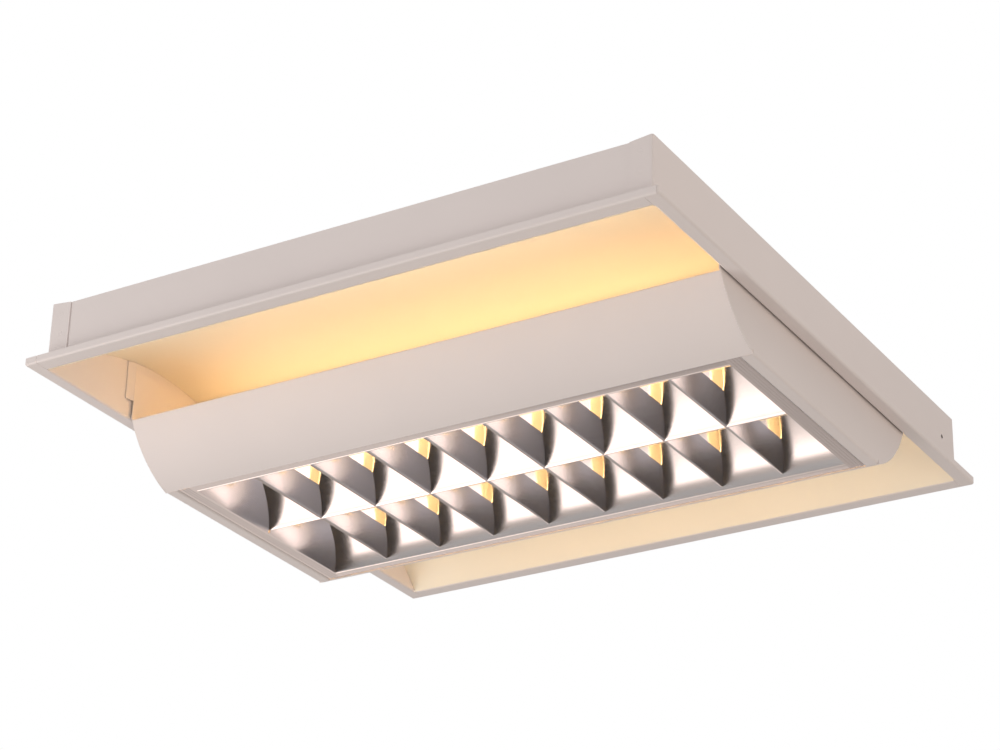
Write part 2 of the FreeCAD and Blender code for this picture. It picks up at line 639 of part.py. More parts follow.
def mains_terminal_block():
    """Three-pole block beside the cable entry, wires in on one side and out on the other."""
    half = MAINS_BLOCK_LENGTH / 2
    block = box(MAINS_BLOCK_X - half, MAINS_BLOCK_X + half, -MAINS_BLOCK_WIDTH / 2, MAINS_BLOCK_WIDTH / 2,
                TRAY_FLOOR, TRAY_FLOOR + MAINS_BLOCK_HEIGHT)
    for pole in range(MAINS_BLOCK_POLES):
        y = (pole - (MAINS_BLOCK_POLES - 1) / 2) * POLE_PITCH
        centre = Vec(MAINS_BLOCK_X, y, TRAY_FLOOR + MAINS_BLOCK_HEIGHT * 0.7)
        for way in (-1, 1):
            face = centre + ABOUT_X * (way * half)
            block = block.cut(rod(POLE_MOUTH_RADIUS, face - ABOUT_X * (way * 4), face + ABOUT_X * way))
        top = Vec(MAINS_BLOCK_X, y, TRAY_FLOOR + MAINS_BLOCK_HEIGHT)
        block = block.cut(rod(POLE_MOUTH_RADIUS, top - ABOUT_Z * 2, top + ABOUT_Z))
    return block


def earth_screw():
    """Earth screw through the tray's floor with its nut on top."""
    x = EARTH_SCREW_X
    y = EARTH_SCREW_Y
    reach = SHEET + EARTH_NUT_HEIGHT + 1.5
    screw = pan_screw(x, y, TRAY_UNDERSIDE_Z, 1, reach)
    corners = [Vec(x + EARTH_NUT_RADIUS * math.cos(math.radians(60 * k)),
                   y + EARTH_NUT_RADIUS * math.sin(math.radians(60 * k)), 0) for k in range(6)]
    nut = plate_from(outline(corners), ABOUT_Z, TRAY_FLOOR, EARTH_NUT_HEIGHT)
    return fuse(screw, nut)


def mains_wires():
    """Straight conductors from the mains block to the ballast."""
    wires = []
    for pole in range(MAINS_BLOCK_POLES):
        y = (pole - (MAINS_BLOCK_POLES - 1) / 2) * WIRE_RADIUS * 3
        wires.append(rod(WIRE_RADIUS, Vec(BALLAST_RIGHT, y, WIRE_Z),
                         Vec(MAINS_BLOCK_X - MAINS_BLOCK_LENGTH / 2, y, WIRE_Z)))
    return Part.makeCompound(wires)


def lamp_wire(end, way, side):
    """One pair of lamp leads from a ballast end to a lampholder's head, on the tray's floor."""
    start = Vec(end, side * LAMP_WIRE_Y, WIRE_Z)
    turn_out = start + ABOUT_X * (way * LAMP_WIRE_STRAIGHT)
    turn_in = Vec(turn_out.x + way * LAMP_WIRE_CROSSING, side * ROW_Y, WIRE_Z)
    finish = Vec(way * HOLDER_FACE, side * ROW_Y, WIRE_Z)
    path = Part.Wire(rounded_path([start, turn_out, turn_in, finish], LAMP_WIRE_BEND))
    ring = Part.Wire(Part.makeCircle(LAMP_WIRE_RADIUS, start, ABOUT_X))
    return path.makePipeShell([ring], True, False)


def lamp_wires():
    starts = ((BALLAST_LEFT, -1), (BALLAST_RIGHT, 1))
    return Part.makeCompound([lamp_wire(end, way, side) for end, way in starts for side in SIDES.values()])


def wire_clips():
    """Saddles that hold the lamp leads down on the tray."""
    clips = []
    top = WIRE_Z + LAMP_WIRE_RADIUS + CLIP_WALL
    for way in ENDS.values():
        for side in SIDES.values():
            y = side * ROW_Y
            x0 = way * CLIP_X - CLIP_LENGTH / 2
            saddle = box(x0, x0 + CLIP_LENGTH, y - CLIP_WIDTH / 2, y + CLIP_WIDTH / 2, TRAY_FLOOR, top)
            upper = [e for e in saddle.Edges if e.BoundBox.ZMin > top - 0.01 and e.BoundBox.XLength > 1]
            saddle = saddle.makeFillet(CLIP_WALL, upper)
            bore = rod(LAMP_WIRE_RADIUS + FIT, Vec(x0 - 1, y, WIRE_Z), Vec(x0 + CLIP_LENGTH + 1, y, WIRE_Z))
            clips.append(saddle.cut(bore))
    return Part.makeCompound(clips)


# ---------------------------------------------------------------- drop box
def box_side_centre(radius):
    """Centre of the circle through the aperture's edge and the box's upper edge."""
    low = in_yz(APERTURE_HALF_Y, -BOX_DEPTH)
    high = in_yz(BOX_TOP_HALF_WIDTH, 0)
    chord = high - low
    inward = ABOUT_X.cross(chord).normalize()
    offset = math.sqrt(radius ** 2 - (chord.Length / 2) ** 2)
    return (low + high) * 0.5 + inward * offset


def box_side():
    """Far side of the box: a sheet bowed outwards, folded in along its upper edge."""
    centre = box_side_centre(BOX_SIDE_RADIUS)
    inner = BOX_SIDE_RADIUS - SHEET
    low = centre + (in_yz(APERTURE_HALF_Y, -BOX_DEPTH) - centre).normalize() * inner
    rise = -SHEET - centre.z
    high = in_yz(centre.y + math.sqrt(inner ** 2 - rise ** 2), -SHEET)
    fold = in_yz(high.y - BOX_SIDE_RETURN, -SHEET)
    edges = [arc_about(centre, inner, low, high), line(high, fold)]
    return folded_sheet(edges, SHEET, 2 * (BOX_END_INNER - FIT), towards=in_yz(HALF_MODULE, -BOX_DEPTH))


def box_end(below):
    """Right end of the box: rim, outer face and the panel that rises behind the lamps."""
    centre = box_side_centre(BOX_SIDE_RADIUS)
    low = in_yz(APERTURE_HALF_Y, -BOX_DEPTH)
    high = in_yz(BOX_TOP_HALF_WIDTH, 0)
    slit_top = END_SLIT_HEIGHT
    upper = ROOF_TOP
    points = [high, in_yz(END_PANEL_HALF_WIDTH, 0), in_yz(END_PANEL_HALF_WIDTH, upper), in_yz(0, upper),
              in_yz(0, -BOX_DEPTH + OUTER_BEND + BOX_RIM_BEND),
              in_yz(APERTURE_HALF_Y - FIT, -BOX_DEPTH + OUTER_BEND + BOX_RIM_BEND),
              in_yz(APERTURE_HALF_Y - FIT, -BOX_DEPTH), low]
    edges = [arc_about(centre, BOX_SIDE_RADIUS, low, high)]
    edges += [line(a, b) for a, b in zip(points, points[1:])]
    panel = plate_from(edges, ABOUT_X, BOX_END_INNER, SHEET)
    wing_end_x = WALL_X - SHEET - FIT
    wing = plate_from(outline([in_xy(BOX_END_INNER, END_PANEL_HALF_WIDTH - SHEET),
                               in_xy(wing_end_x, END_PANEL_HALF_WIDTH + END_WING),
                               in_xy(wing_end_x + SHEET, END_PANEL_HALF_WIDTH + END_WING),
                               in_xy(BOX_END_X, END_PANEL_HALF_WIDTH - SHEET)]),
                      ABOUT_Z, slit_top, upper - slit_top)
    half = fuse(panel, wing).common(below)
    rim = folded_sheet(rounded_path([in_xz(BOX_END_X, -BOX_DEPTH / 2), in_xz(BOX_END_X, -BOX_DEPTH),
                                     in_xz(APERTURE_HALF_X, -BOX_DEPTH),
                                     in_xz(APERTURE_HALF_X, -BOX_DEPTH + RIM_HEM)], BOX_RIM_BEND),
                       SHEET, 2 * (APERTURE_HALF_Y - SHEET), towards=in_xz(APERTURE_HALF_X + 5, 0))
    return fuse(half, mirror_side(half), rim)


# ---------------------------------------------------------------- lamps and lampholders
def lamp_tube(y):
    ends = LAMP_LENGTH / 2 - CAP_LENGTH + CAP_DEPTH
    start = Vec(-ends, y, LAMP_Z)
    end = Vec(ends, y, LAMP_Z)
    return rod(GLASS_RADIUS, start, end).cut(rod(GLASS_RADIUS - GLASS_WALL, start, end))


def lamp_caps(y):
    caps = []
    for way in ENDS.values():
        face = Vec(way * LAMP_LENGTH / 2, y, LAMP_Z)
        back = face - ABOUT_X * (way * CAP_LENGTH)
        cap = rod(CAP_RADIUS, back, face)
        rim = [e for e in cap.Edges if e.BoundBox.XLength < 0.01]
        cap = cap.makeFillet(CAP_RADIUS - GLASS_RADIUS - CAP_GAP * 2, rim)
        caps.append(cap.cut(rod(GLASS_RADIUS + CAP_GAP, back - ABOUT_X * way,
                                back + ABOUT_X * (way * (CAP_DEPTH + CAP_GAP)))))
    return Part.makeCompound(caps)


def lamp_pins(y):
    pins = []
    for way in ENDS.values():
        for side in (-1, 1):
            root = Vec(way * LAMP_LENGTH / 2, y + side * PIN_PITCH / 2, LAMP_Z)
            pins.append(rod(PIN_RADIUS, root, root + ABOUT_X * (way * PIN_LENGTH)))
    return Part.makeCompound(pins)


ROTOR_BACK = HOLDER_FACE + ROTOR_END_GAP + ROTOR_THICKNESS


def lamp_rotors(y):
    """Slotted discs that turn in the lampholders with the lamp's pins."""
    rotors = []
    for way in ENDS.values():
        front = Vec(way * (HOLDER_FACE + ROTOR_END_GAP), y, LAMP_Z)
        disc = rod(ROTOR_RADIUS, front, Vec(way * ROTOR_BACK, y, LAMP_Z))
        half = PIN_RADIUS + PIN_SLOT_GAP
        slot = box(way * (HOLDER_FACE - 1), way * (ROTOR_BACK - ROTOR_WEB), y - ROTOR_RADIUS - 1,
                   y + ROTOR_RADIUS + 1, LAMP_Z - half, LAMP_Z + half)
        rotors.append(disc.cut(slot))
    return Part.makeCompound(rotors)


def lampholders(y):
    """Rotary lampholders that stand through the tray's notches at both ends of one lamp."""
    holders = []
    for way in ENDS.values():
        bottom = LAMP_Z - HOLDER_BELOW_LAMP
        body = box(HOLDER_FACE, HOLDER_BACK, y - HOLDER_WIDTH / 2, y + HOLDER_WIDTH / 2,
                   bottom, TRAY_UNDERSIDE_Z - FIT)
        sides = [e for e in body.Edges if e.BoundBox.ZMax < bottom + 0.01 and e.BoundBox.XLength > 1]
        body = body.makeFillet(HOLDER_CORNER, sides)
        neck = box(HOLDER_FACE, HOLDER_BACK, y - HOLDER_NECK_WIDTH / 2, y + HOLDER_NECK_WIDTH / 2,
                   TRAY_UNDERSIDE_Z - 1, TRAY_FLOOR + 1)
        head_foot = TRAY_FLOOR + FIT
        head = box(HOLDER_FACE, HOLDER_BACK, y - HOLDER_HEAD_WIDTH / 2, y + HOLDER_HEAD_WIDTH / 2,
                   head_foot, head_foot + HOLDER_HEAD_HEIGHT)
        holder = fuse(body, neck, head)
        socket_back = ROTOR_BACK + ROTOR_END_GAP
        socket = rod(ROTOR_RADIUS + ROTOR_GAP, Vec(HOLDER_FACE - 1, y, LAMP_Z), Vec(socket_back, y, LAMP_Z))
        half = PIN_RADIUS + PIN_SLOT_GAP
        entry = box(HOLDER_FACE - 1, socket_back, y - half, y + half, bottom - 1, LAMP_Z)
        holders.append(for_end(holder.cut(socket).cut(entry), way))
    return Part.makeCompound(holders)


# ---------------------------------------------------------------- louvre
def reflector_face():
    """Far side reflector's mirror face, from its foot up to the lamp opening."""
    foot = in_yz(REFLECTOR_FOOT_Y, LOUVRE_Z)
    top = in_yz(REFLECTOR_TOP_Y, LOUVRE_TOP_Z)
    return bowed(foot, top, -REFLECTOR_BOW, ABOUT_X)


def divider_face():
    """Central divider's far face, from its nose up to the lamp opening."""
    return bowed(in_yz(NOSE_HALF_WIDTH, BLADE_EDGE_Z), in_yz(DIVIDER_TOP_HALF_WIDTH, LOUVRE_TOP_Z),
                 DIVIDER_BOW, ABOUT_X)


def side_reflector():
    """Far side reflector: outer lip, flat rail and mirror face, bent from one strip."""
    lip = [in_yz(LOUVRE_HALF_Y, LOUVRE_Z + OUTER_LIP), in_yz(LOUVRE_HALF_Y, LOUVRE_Z),
           in_yz(REFLECTOR_FOOT_Y, LOUVRE_Z)]
    edges = [line(lip[0], lip[1]), line(lip[1], lip[2]), reflector_face()]
    return folded_sheet(edges, ALUMINIUM, 2 * (CELLS_HALF_X - FIT), towards=in_yz(LOUVRE_HALF_Y - 4, 0))


def central_divider():
    """V-shaped mirror strip between the two rows."""
    far = divider_face()
    near = mirror_side(far)
    nose_far = in_yz(NOSE_HALF_WIDTH, BLADE_EDGE_Z)
    nose_near = in_yz(-NOSE_HALF_WIDTH, BLADE_EDGE_Z)
    nose = bowed(nose_near, nose_far, -NOSE_HALF_WIDTH / 2, ABOUT_X)
    return folded_sheet([near, nose, far], ALUMINIUM, 2 * (CELLS_HALF_X - FIT), towards=in_yz(0, 0))


def far_row_space():
    """Space of the far row between divider and side reflector, less the running gap."""
    low_z = BLADE_EDGE_Z - 1
    inner = divider_face()
    outer = reflector_face()
    points = [in_yz(DIVIDER_TOP_HALF_WIDTH, LOUVRE_TOP_Z), in_yz(REFLECTOR_TOP_Y, LOUVRE_TOP_Z)]
    foot = [in_yz(REFLECTOR_FOOT_Y, LOUVRE_Z), in_yz(NOSE_HALF_WIDTH, LOUVRE_Z),
            in_yz(NOSE_HALF_WIDTH, BLADE_EDGE_Z)]
    edges = [inner, line(points[0], points[1]), outer, line(foot[0], foot[1]), line(foot[1], foot[2])]
    space = plate_from(edges, ABOUT_X, -HALF_MODULE, MODULE)
    sliver = box(-HALF_MODULE, HALF_MODULE, -1, NOSE_HALF_WIDTH + ROW_GAP, low_z - BOX_DEPTH, LOUVRE_TOP_Z)
    inner_skin = space.copy()
    inner_skin.translate(ABOUT_Y * ROW_GAP)
    outer_skin = space.copy()
    outer_skin.translate(ABOUT_Y * -ROW_GAP)
    return space.common(inner_skin).common(outer_skin).cut(sliver)


def cross_blade(index, row):
    """One V-shaped blade, in two pieces: one for each row."""
    x = (index - CELLS / 2) * CELL_PITCH
    top_z = BLADE_EDGE_Z + BLADE_HEIGHT
    nose = in_xz(NOSE_HALF_WIDTH, BLADE_EDGE_Z)
    nose_back = in_xz(-NOSE_HALF_WIDTH, BLADE_EDGE_Z)
    right = bowed(nose, in_xz(BLADE_TOP_HALF_WIDTH, top_z), -BLADE_BOW, ABOUT_Y)
    left = mirror_end(right)
    tip = bowed(nose_back, nose, NOSE_HALF_WIDTH / 2, ABOUT_Y)
    blade = folded_sheet([left, tip, right], ALUMINIUM, MODULE, towards=in_xz(0, 0))
    blade.translate(ABOUT_X * x)
    far = blade.common(row)
    return Part.makeCompound([far, mirror_side(far)])


def louvre_end(row):
    """Right end of the louvre: outer lip, flat strip and a full-height mirror face."""
    foot = in_xz(CELLS_HALF_X, LOUVRE_Z)
    top = in_xz(CELLS_HALF_X - END_PLATE_LEAN, LOUVRE_TOP_Z)
    face = bowed(foot, top, END_PLATE_BOW, ABOUT_Y)
    ear_top = HINGE_Z + HINGE_EAR / 2 - OUTER_BEND
    edges = [line(in_xz(LOUVRE_HALF_X, ear_top), in_xz(LOUVRE_HALF_X, LOUVRE_Z)),
             line(in_xz(LOUVRE_HALF_X, LOUVRE_Z), foot), face]
    whole = folded_sheet(edges, ALUMINIUM, 2 * LOUVRE_HALF_Y, towards=in_xz(CELLS_HALF_X + 4, 0))
    lip_start = CELLS_HALF_X + ALUMINIUM
    ear_start = HINGE_Y - HINGE_EAR / 2
    whole = whole.cut(box(lip_start, HALF_MODULE, -HALF_MODULE, ear_start, LOUVRE_Z + END_LIP, 0))
    strip = whole.common(box(CELLS_HALF_X, HALF_MODULE, -HALF_MODULE, HALF_MODULE, LOUVRE_Z - 1, 0))
    mirror_face = whole.common(box(0, lip_start, -HALF_MODULE, HALF_MODULE, LOUVRE_Z - 1, 0))
    far = mirror_face.common(row)
    under_divider = box(0, lip_start, -ROW_Y, ROW_Y, LOUVRE_Z - 1, BLADE_EDGE_Z - NOSE_HALF_WIDTH)
    bridge = mirror_face.common(under_divider)
    plate = fuse(strip, bridge, far, mirror_side(far))
    pin_hole = rod(HINGE_PIN_RADIUS + HINGE_GAP, Vec(LOUVRE_HALF_X - 2, HINGE_Y, HINGE_Z),
                   Vec(LOUVRE_HALF_X + 1, HINGE_Y, HINGE_Z))
    return plate.cut(pin_hole)


BRACKET_X = APERTURE_HALF_X + BRACKET_OFFSET


def hinge_pins():
    """Two headed pins in the louvre's end lips."""
    pins = []
    inside = LOUVRE_HALF_X - ALUMINIUM - FIT
    for way in ENDS.values():
        head_start = Vec(way * (inside - HINGE_PIN_HEAD), HINGE_Y, HINGE_Z)
        head_end = Vec(way * inside, HINGE_Y, HINGE_Z)
        tip = Vec(way * (BRACKET_X + BRACKET_THICKNESS + 1), HINGE_Y, HINGE_Z)
        pins.append(fuse(rod(HINGE_PIN_HEAD_RADIUS, head_start, head_end),
                         rod(HINGE_PIN_RADIUS, head_start, tip)))
    return Part.makeCompound(pins)


def hinge_brackets():
    """Angle brackets on the rim that carry the louvre's pins."""
    rim_top = -BOX_DEPTH + SHEET
    brackets = []
    y0 = HINGE_Y - BRACKET_WIDTH / 2
    y1 = HINGE_Y + BRACKET_WIDTH / 2
    for way in ENDS.values():
        upright = box(BRACKET_X, BRACKET_X + BRACKET_THICKNESS, y0, y1, rim_top, HINGE_Z + BRACKET_ABOVE_PIN)
        foot = box(BRACKET_X, BRACKET_X + BRACKET_FOOT, y0, y1, rim_top, rim_top + BRACKET_THICKNESS)
        hole = rod(HINGE_PIN_RADIUS + HINGE_GAP, Vec(BRACKET_X - 1, HINGE_Y, HINGE_Z),
                   Vec(BRACKET_X + BRACKET_THICKNESS + 1, HINGE_Y, HINGE_Z))
        brackets.append(for_end(fuse(upright, foot).cut(hole), way))
    return Part.makeCompound(brackets)


KEEPER_FLOOR = LOUVRE_Z + ALUMINIUM
MAGNET_FLOOR = KEEPER_FLOOR + KEEPER_THICKNESS + MAGNET_GAP
MAGNET_TOP = MAGNET_FLOOR + MAGNET_HEIGHT
STRIP_MIDDLE_X = (CELLS_HALF_X + LOUVRE_HALF_X) / 2


def keeper_plates():
    """Steel plates on the louvre's end strips, where the magnets hold it shut."""
    plates = []
    for way in ENDS.values():
        x = way * STRIP_MIDDLE_X
        plates.append(box(x - MAGNET_LENGTH / 2, x + MAGNET_LENGTH / 2, CATCH_Y - MAGNET_WIDTH / 2,
                          CATCH_Y + MAGNET_WIDTH / 2, KEEPER_FLOOR, KEEPER_FLOOR + KEEPER_THICKNESS))
    return Part.makeCompound(plates)


def catch_magnets():
    """Block magnets under the catch brackets, just above the louvre's keepers."""
    magnets = []
    for way in ENDS.values():
        x = way * STRIP_MIDDLE_X
        magnets.append(box(x - MAGNET_LENGTH / 2, x + MAGNET_LENGTH / 2, CATCH_Y - MAGNET_WIDTH / 2,
                           CATCH_Y + MAGNET_WIDTH / 2, MAGNET_FLOOR, MAGNET_TOP))
    return Part.makeCompound(magnets)


def catch_brackets():
    """Angles from the box's ends that reach over the louvre's end strips."""
    brackets = []
    for way in ENDS.values():
        y0 = CATCH_Y - CATCH_WIDTH / 2
        y1 = CATCH_Y + CATCH_WIDTH / 2
        arm = box(BOX_END_INNER - CATCH_REACH, BOX_END_INNER, y0, y1, MAGNET_TOP, MAGNET_TOP + CATCH_SHEET)
        back = box(BOX_END_INNER - CATCH_SHEET, BOX_END_INNER, y0, y1, MAGNET_TOP, MAGNET_TOP + CATCH_BACK)
        brackets.append(for_end(fuse(arm, back), way))
    return Part.makeCompound(brackets)


# ---------------------------------------------------------------- all pieces, by name
def build():
    """Every piece of the light as a name and its solid or group of solids."""
    pieces = {}
    pan = shallow_pan()
    below = under_vaults()
    row = far_row_space()
    for side, sign in SIDES.items():
        pieces["side_wall_" + side] = turned_for(side_wall(pan), sign)
        pieces["vault_" + side] = for_side(vault(), sign)
        pieces["box_side_" + side] = for_side(box_side(), sign)
        pieces["lampholders_" + side] = lampholders(sign * ROW_Y)
        pieces["lamp_" + side + "_tube"] = lamp_tube(sign * ROW_Y)
        pieces["lamp_" + side + "_caps"] = lamp_caps(sign * ROW_Y)
        pieces["lamp_" + side + "_pins"] = lamp_pins(sign * ROW_Y)
        pieces["lamp_" + side + "_rotors"] = lamp_rotors(sign * ROW_Y)
        pieces["side_reflector_" + side] = for_side(side_reflector(), sign)
    for end, sign in ENDS.items():
        pieces["end_wall_" + end] = turned_for(end_wall(pan), sign)
        pieces["box_end_" + end] = for_end(box_end(below), sign)
        pieces["louvre_end_" + end] = for_end(louvre_end(row), sign)
    for index in range(1, CELLS):
        pieces["cross_blade_%d" % index] = cross_blade(index, row)
    pieces["roof_panel"] = roof_panel()
    pieces["cable_grommet"] = cable_grommet()
    pieces["gear_tray"] = gear_tray()
    pieces["tray_spacers"] = tray_spacers()
    pieces["tray_screws"] = tray_screws()
    pieces["ballast_case"] = ballast_case()
    pieces["ballast_terminals"] = ballast_terminals()
    pieces["ballast_screws"] = ballast_screws()
    pieces["mains_terminal_block"] = mains_terminal_block()
    pieces["earth_screw"] = earth_screw()
    pieces["mains_wires"] = mains_wires()
    pieces["lamp_wires"] = lamp_wires()
    pieces["wire_clips"] = wire_clips()
    pieces["central_divider"] = central_divider()
    pieces["hinge_pins"] = hinge_pins()
    pieces["hinge_brackets"] = hinge_brackets()
    pieces["keeper_plates"] = keeper_plates()
    pieces["catch_magnets"] = catch_magnets()
    pieces["catch_brackets"] = catch_brackets()
    return pieces


def main():
    os.makedirs("parts", exist_ok=True)
    for name, shape in build().items():
        shape.exportStep("parts/" + name + ".step")
        print("%-22s solids %2d valid %s" % (name, len(shape.Solids), shape.isValid()))


main()
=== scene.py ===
"""Looks of a recessed ceiling light with lit lamps behind a mirror louvre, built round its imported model.

Metres, in the model's own frame: X along the lamps, Y across them, Z up, with the origin in the middle
of the ceiling opening, level with the flange's underside.
"""

import json
import logging
import math
from collections.abc import Callable
from dataclasses import dataclass
from enum import Enum
from functools import cache

import bmesh
import bpy
from mathutils import Matrix, Vector


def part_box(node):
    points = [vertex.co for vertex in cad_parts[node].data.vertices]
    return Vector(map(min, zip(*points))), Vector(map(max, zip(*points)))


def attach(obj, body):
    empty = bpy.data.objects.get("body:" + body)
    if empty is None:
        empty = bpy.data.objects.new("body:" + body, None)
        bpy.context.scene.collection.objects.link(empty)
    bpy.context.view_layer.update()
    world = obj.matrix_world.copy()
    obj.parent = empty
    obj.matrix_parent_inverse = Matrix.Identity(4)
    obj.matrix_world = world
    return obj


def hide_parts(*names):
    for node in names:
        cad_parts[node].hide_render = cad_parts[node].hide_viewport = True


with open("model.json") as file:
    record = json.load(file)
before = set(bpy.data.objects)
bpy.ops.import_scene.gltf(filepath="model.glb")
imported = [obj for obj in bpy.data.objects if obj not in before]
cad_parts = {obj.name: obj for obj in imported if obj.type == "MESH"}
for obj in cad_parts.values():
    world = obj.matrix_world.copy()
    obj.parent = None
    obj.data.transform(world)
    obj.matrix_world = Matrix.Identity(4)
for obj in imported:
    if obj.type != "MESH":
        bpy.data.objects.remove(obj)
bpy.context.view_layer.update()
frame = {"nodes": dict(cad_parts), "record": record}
LOG = logging.getLogger("troffer")
MM = 0.001
NOISE_MIDDLE = (0.3, 0.7)
LEAN_SEED = 7
Flat = tuple[float, float]
Outline = tuple[Flat, ...]
Triple = tuple[float, float, float]
Colour = Triple
Socket = bpy.types.NodeSocket
Mesh = bpy.types.Mesh


def srgb(red: int, green: int, blue: int) -> Colour:
    """Linear colour of a screen colour.

    Args:
        red: Red, 0 to 255.
        green: Green, 0 to 255.
        blue: Blue, 0 to 255.

    Returns:
        The same colour as three linear values.
    """
    def linear(value: int) -> float:
        """Linear value of one channel."""
        share = value / 255
        return share / 12.92 if share <= 0.04045 else ((share + 0.055) / 1.055) ** 2.4
    return linear(red), linear(green), linear(blue)


def shaded(colour: Colour, factor: float) -> Colour:
    """A linear colour made lighter or darker by a factor and held at 1."""
    return tuple(min(1.0, channel * factor) for channel in colour)


def placed(name: str, data: bpy.types.ID) -> bpy.types.Object:
    """Puts something into the scene.

    Args:
        name: The new object's name.
        data: What it shows.

    Returns:
        The object.
    """
    thing = bpy.data.objects.new(name, data)
    bpy.context.scene.collection.objects.link(thing)
    return thing


# --- node helpers
class Curve(Enum):
    """How a value goes from one end of its range to the other."""

    STRAIGHT = "LINEAR"
    SOFT = "SMOOTHSTEP"


class NodeKit:
    """Adds nodes to a tree and feeds them, so that a finish reads as a short recipe."""

    def __init__(self, tree: bpy.types.NodeTree) -> None:
        """Keeps the tree and empties it."""
        self.tree = tree
        tree.nodes.clear()

    def add(self, kind: str, feeds: dict[str | int, object] | None = None,
            **settings: object) -> bpy.types.Node:
        """Adds a node, sets its properties and feeds its inputs.

        Args:
            kind: The node's type name.
            feeds: Inputs by name or number, each with the output that is wired to it or a plain value.
            settings: Property names and their values.

        Returns:
            The new node.
        """
        node = self.tree.nodes.new(kind)
        for name, value in settings.items():
            setattr(node, name, value)
        for name, value in (feeds or {}).items():
            if isinstance(value, Socket):
                self.tree.links.new(value, node.inputs[name])
            else:
                node.inputs[name].default_value = value
        return node

    def coordinates(self, stretch: Triple = (1.0, 1.0, 1.0)) -> Socket:
        """Object coordinates, stretched along X, Y and Z."""
        place = self.add("ShaderNodeTexCoord").outputs["Object"]
        return self.add("ShaderNodeMapping", {"Vector": place, "Scale": stretch}).outputs["Vector"]

    def noise(self, place: Socket, scale: float, detail: float = 2.0) -> Socket:
        """A noise of about 0 to 1, by its waves per metre and its number of finer layers."""
        feeds = {"Vector": place, "Scale": scale, "Detail": detail}
        return self.add("ShaderNodeTexNoise", feeds).outputs["Fac"]

    def remap(self, value: Socket, source: Flat, target: Flat, curve: Curve = Curve.STRAIGHT) -> Socket:
        """Takes a value from one range to another and holds it at the ends.

        Args:
            value: The value.
            source: Its range.
            target: What the ends of that range become.
            curve: The way between them.

        Returns:
            The new value's output.
        """
        (start, end), (low, high) = source, target
        feeds = {"Value": value, "From Min": start, "From Max": end, "To Min": low, "To Max": high}
        return self.add("ShaderNodeMapRange", feeds, interpolation_type=curve.value).outputs["Result"]

    def blend(self, share: Socket, first: Colour, second: Colour) -> Socket:
        """Blends two colours, from the first at a share of 0 to the second at 1."""
        feeds = {"A": (*first, 1), "B": (*second, 1), "Factor": share}
        return self.add("ShaderNodeMix", feeds, data_type="RGBA").outputs["Result"]

    def bump(self, height: Socket, depth: float) -> Socket:
        """The normal of a relief, by its height from 0 to 1 and its depth in metres."""
        feeds = {"Height": height, "Strength": 1.0, "Distance": depth}
        return self.add("ShaderNodeBump", feeds).outputs["Normal"]

    def number(self, operation: str, *values: Socket | float) -> Socket:
        """Works a number out from others, in the order of the math node's inputs."""
        return self.add("ShaderNodeMath", dict(enumerate(values)), operation=operation).outputs[0]

    def mix(self, share: Socket, first: Socket, second: Socket) -> Socket:
        """Mixes two shaders, from the first at a share of 0 to the second at 1."""
        return self.add("ShaderNodeMixShader", {0: share, 1: first, 2: second}).outputs[0]


# --- finishes
@dataclass(frozen=True)
class Finish:
    """A surface finish: mottled colour, uneven gloss and a fine relief.

    Attributes:
        name: The finish in a maker's words.
        slot: The record's material slot.
        colour: Linear base colour.
        roughness: Middle roughness.
        metallic: 1 for bare metal.
        mottle: How far the colour strays from the middle.
        gloss_change: How far the roughness strays.
        grain_scale: Waves per metre of the relief.
        grain_depth: Depth of the relief in metres.
        stretch: Stretch of the relief along X, Y and Z.
        patch_scale: Waves per metre of the slow colour change.
        patch_detail: Finer layers of that change.
    """

    name: str
    slot: str
    colour: Colour
    roughness: float = 0.5
    metallic: float = 0.0
    mottle: float = 0.03
    gloss_change: float = 0.05
    grain_scale: float = 900.0
    grain_depth: float = 0.00002
    stretch: Triple = (1.0, 1.0, 1.0)
    patch_scale: float = 9.0
    patch_detail: float = 3.0

    @cache
    def build(self) -> bpy.types.Material:
        """Makes the material with its nodes, once for all pieces that share it.

        Returns:
            The material.
        """
        material = bpy.data.materials.new(self.name)
        material.use_nodes = True
        kit = NodeKit(material.node_tree)
        patches = kit.noise(kit.coordinates(), self.patch_scale, self.patch_detail)
        tone = kit.blend(kit.remap(patches, NOISE_MIDDLE, (0.0, 1.0)), shaded(self.colour, 1 - self.mottle),
                         shaded(self.colour, 1 + self.mottle))
        grain = kit.noise(kit.coordinates(self.stretch), self.grain_scale)
        gloss = (self.roughness - self.gloss_change, self.roughness + self.gloss_change)
        shader = kit.add("ShaderNodeBsdfPrincipled", {
            "Metallic": self.metallic, "Base Color": tone, "Roughness": kit.remap(grain, NOISE_MIDDLE, gloss),
            "Normal": kit.bump(grain, self.grain_depth), **self.extras()})
        kit.add("ShaderNodeOutputMaterial", {"Surface": self.surface(kit, shader.outputs["BSDF"])})
        return material

    def extras(self) -> dict[str, object]:
        """Inputs of the shader that only this kind of finish sets."""
        return {}

    def surface(self, kit: NodeKit, plain: Socket) -> Socket:
        """The surface, which only some kinds of finish make from more than the plain shader."""
        return plain


@dataclass(frozen=True)
class LitGlass(Finish):
    """Glass coated inside with phosphor, glowing along its length.

    Attributes:
        glow: Colour of the light.
        strength: Strength of the light.
        coat: Weight of the clear gloss on it.
    """

    glow: Colour = (1.0, 0.65, 0.29)
    strength: float = 8.6
    coat: float = 0.5

    def extras(self) -> dict[str, object]:
        """The light and the gloss of the tube."""
        return {"Emission Color": (*self.glow, 1), "Emission Strength": self.strength,
                "Coat Weight": self.coat}


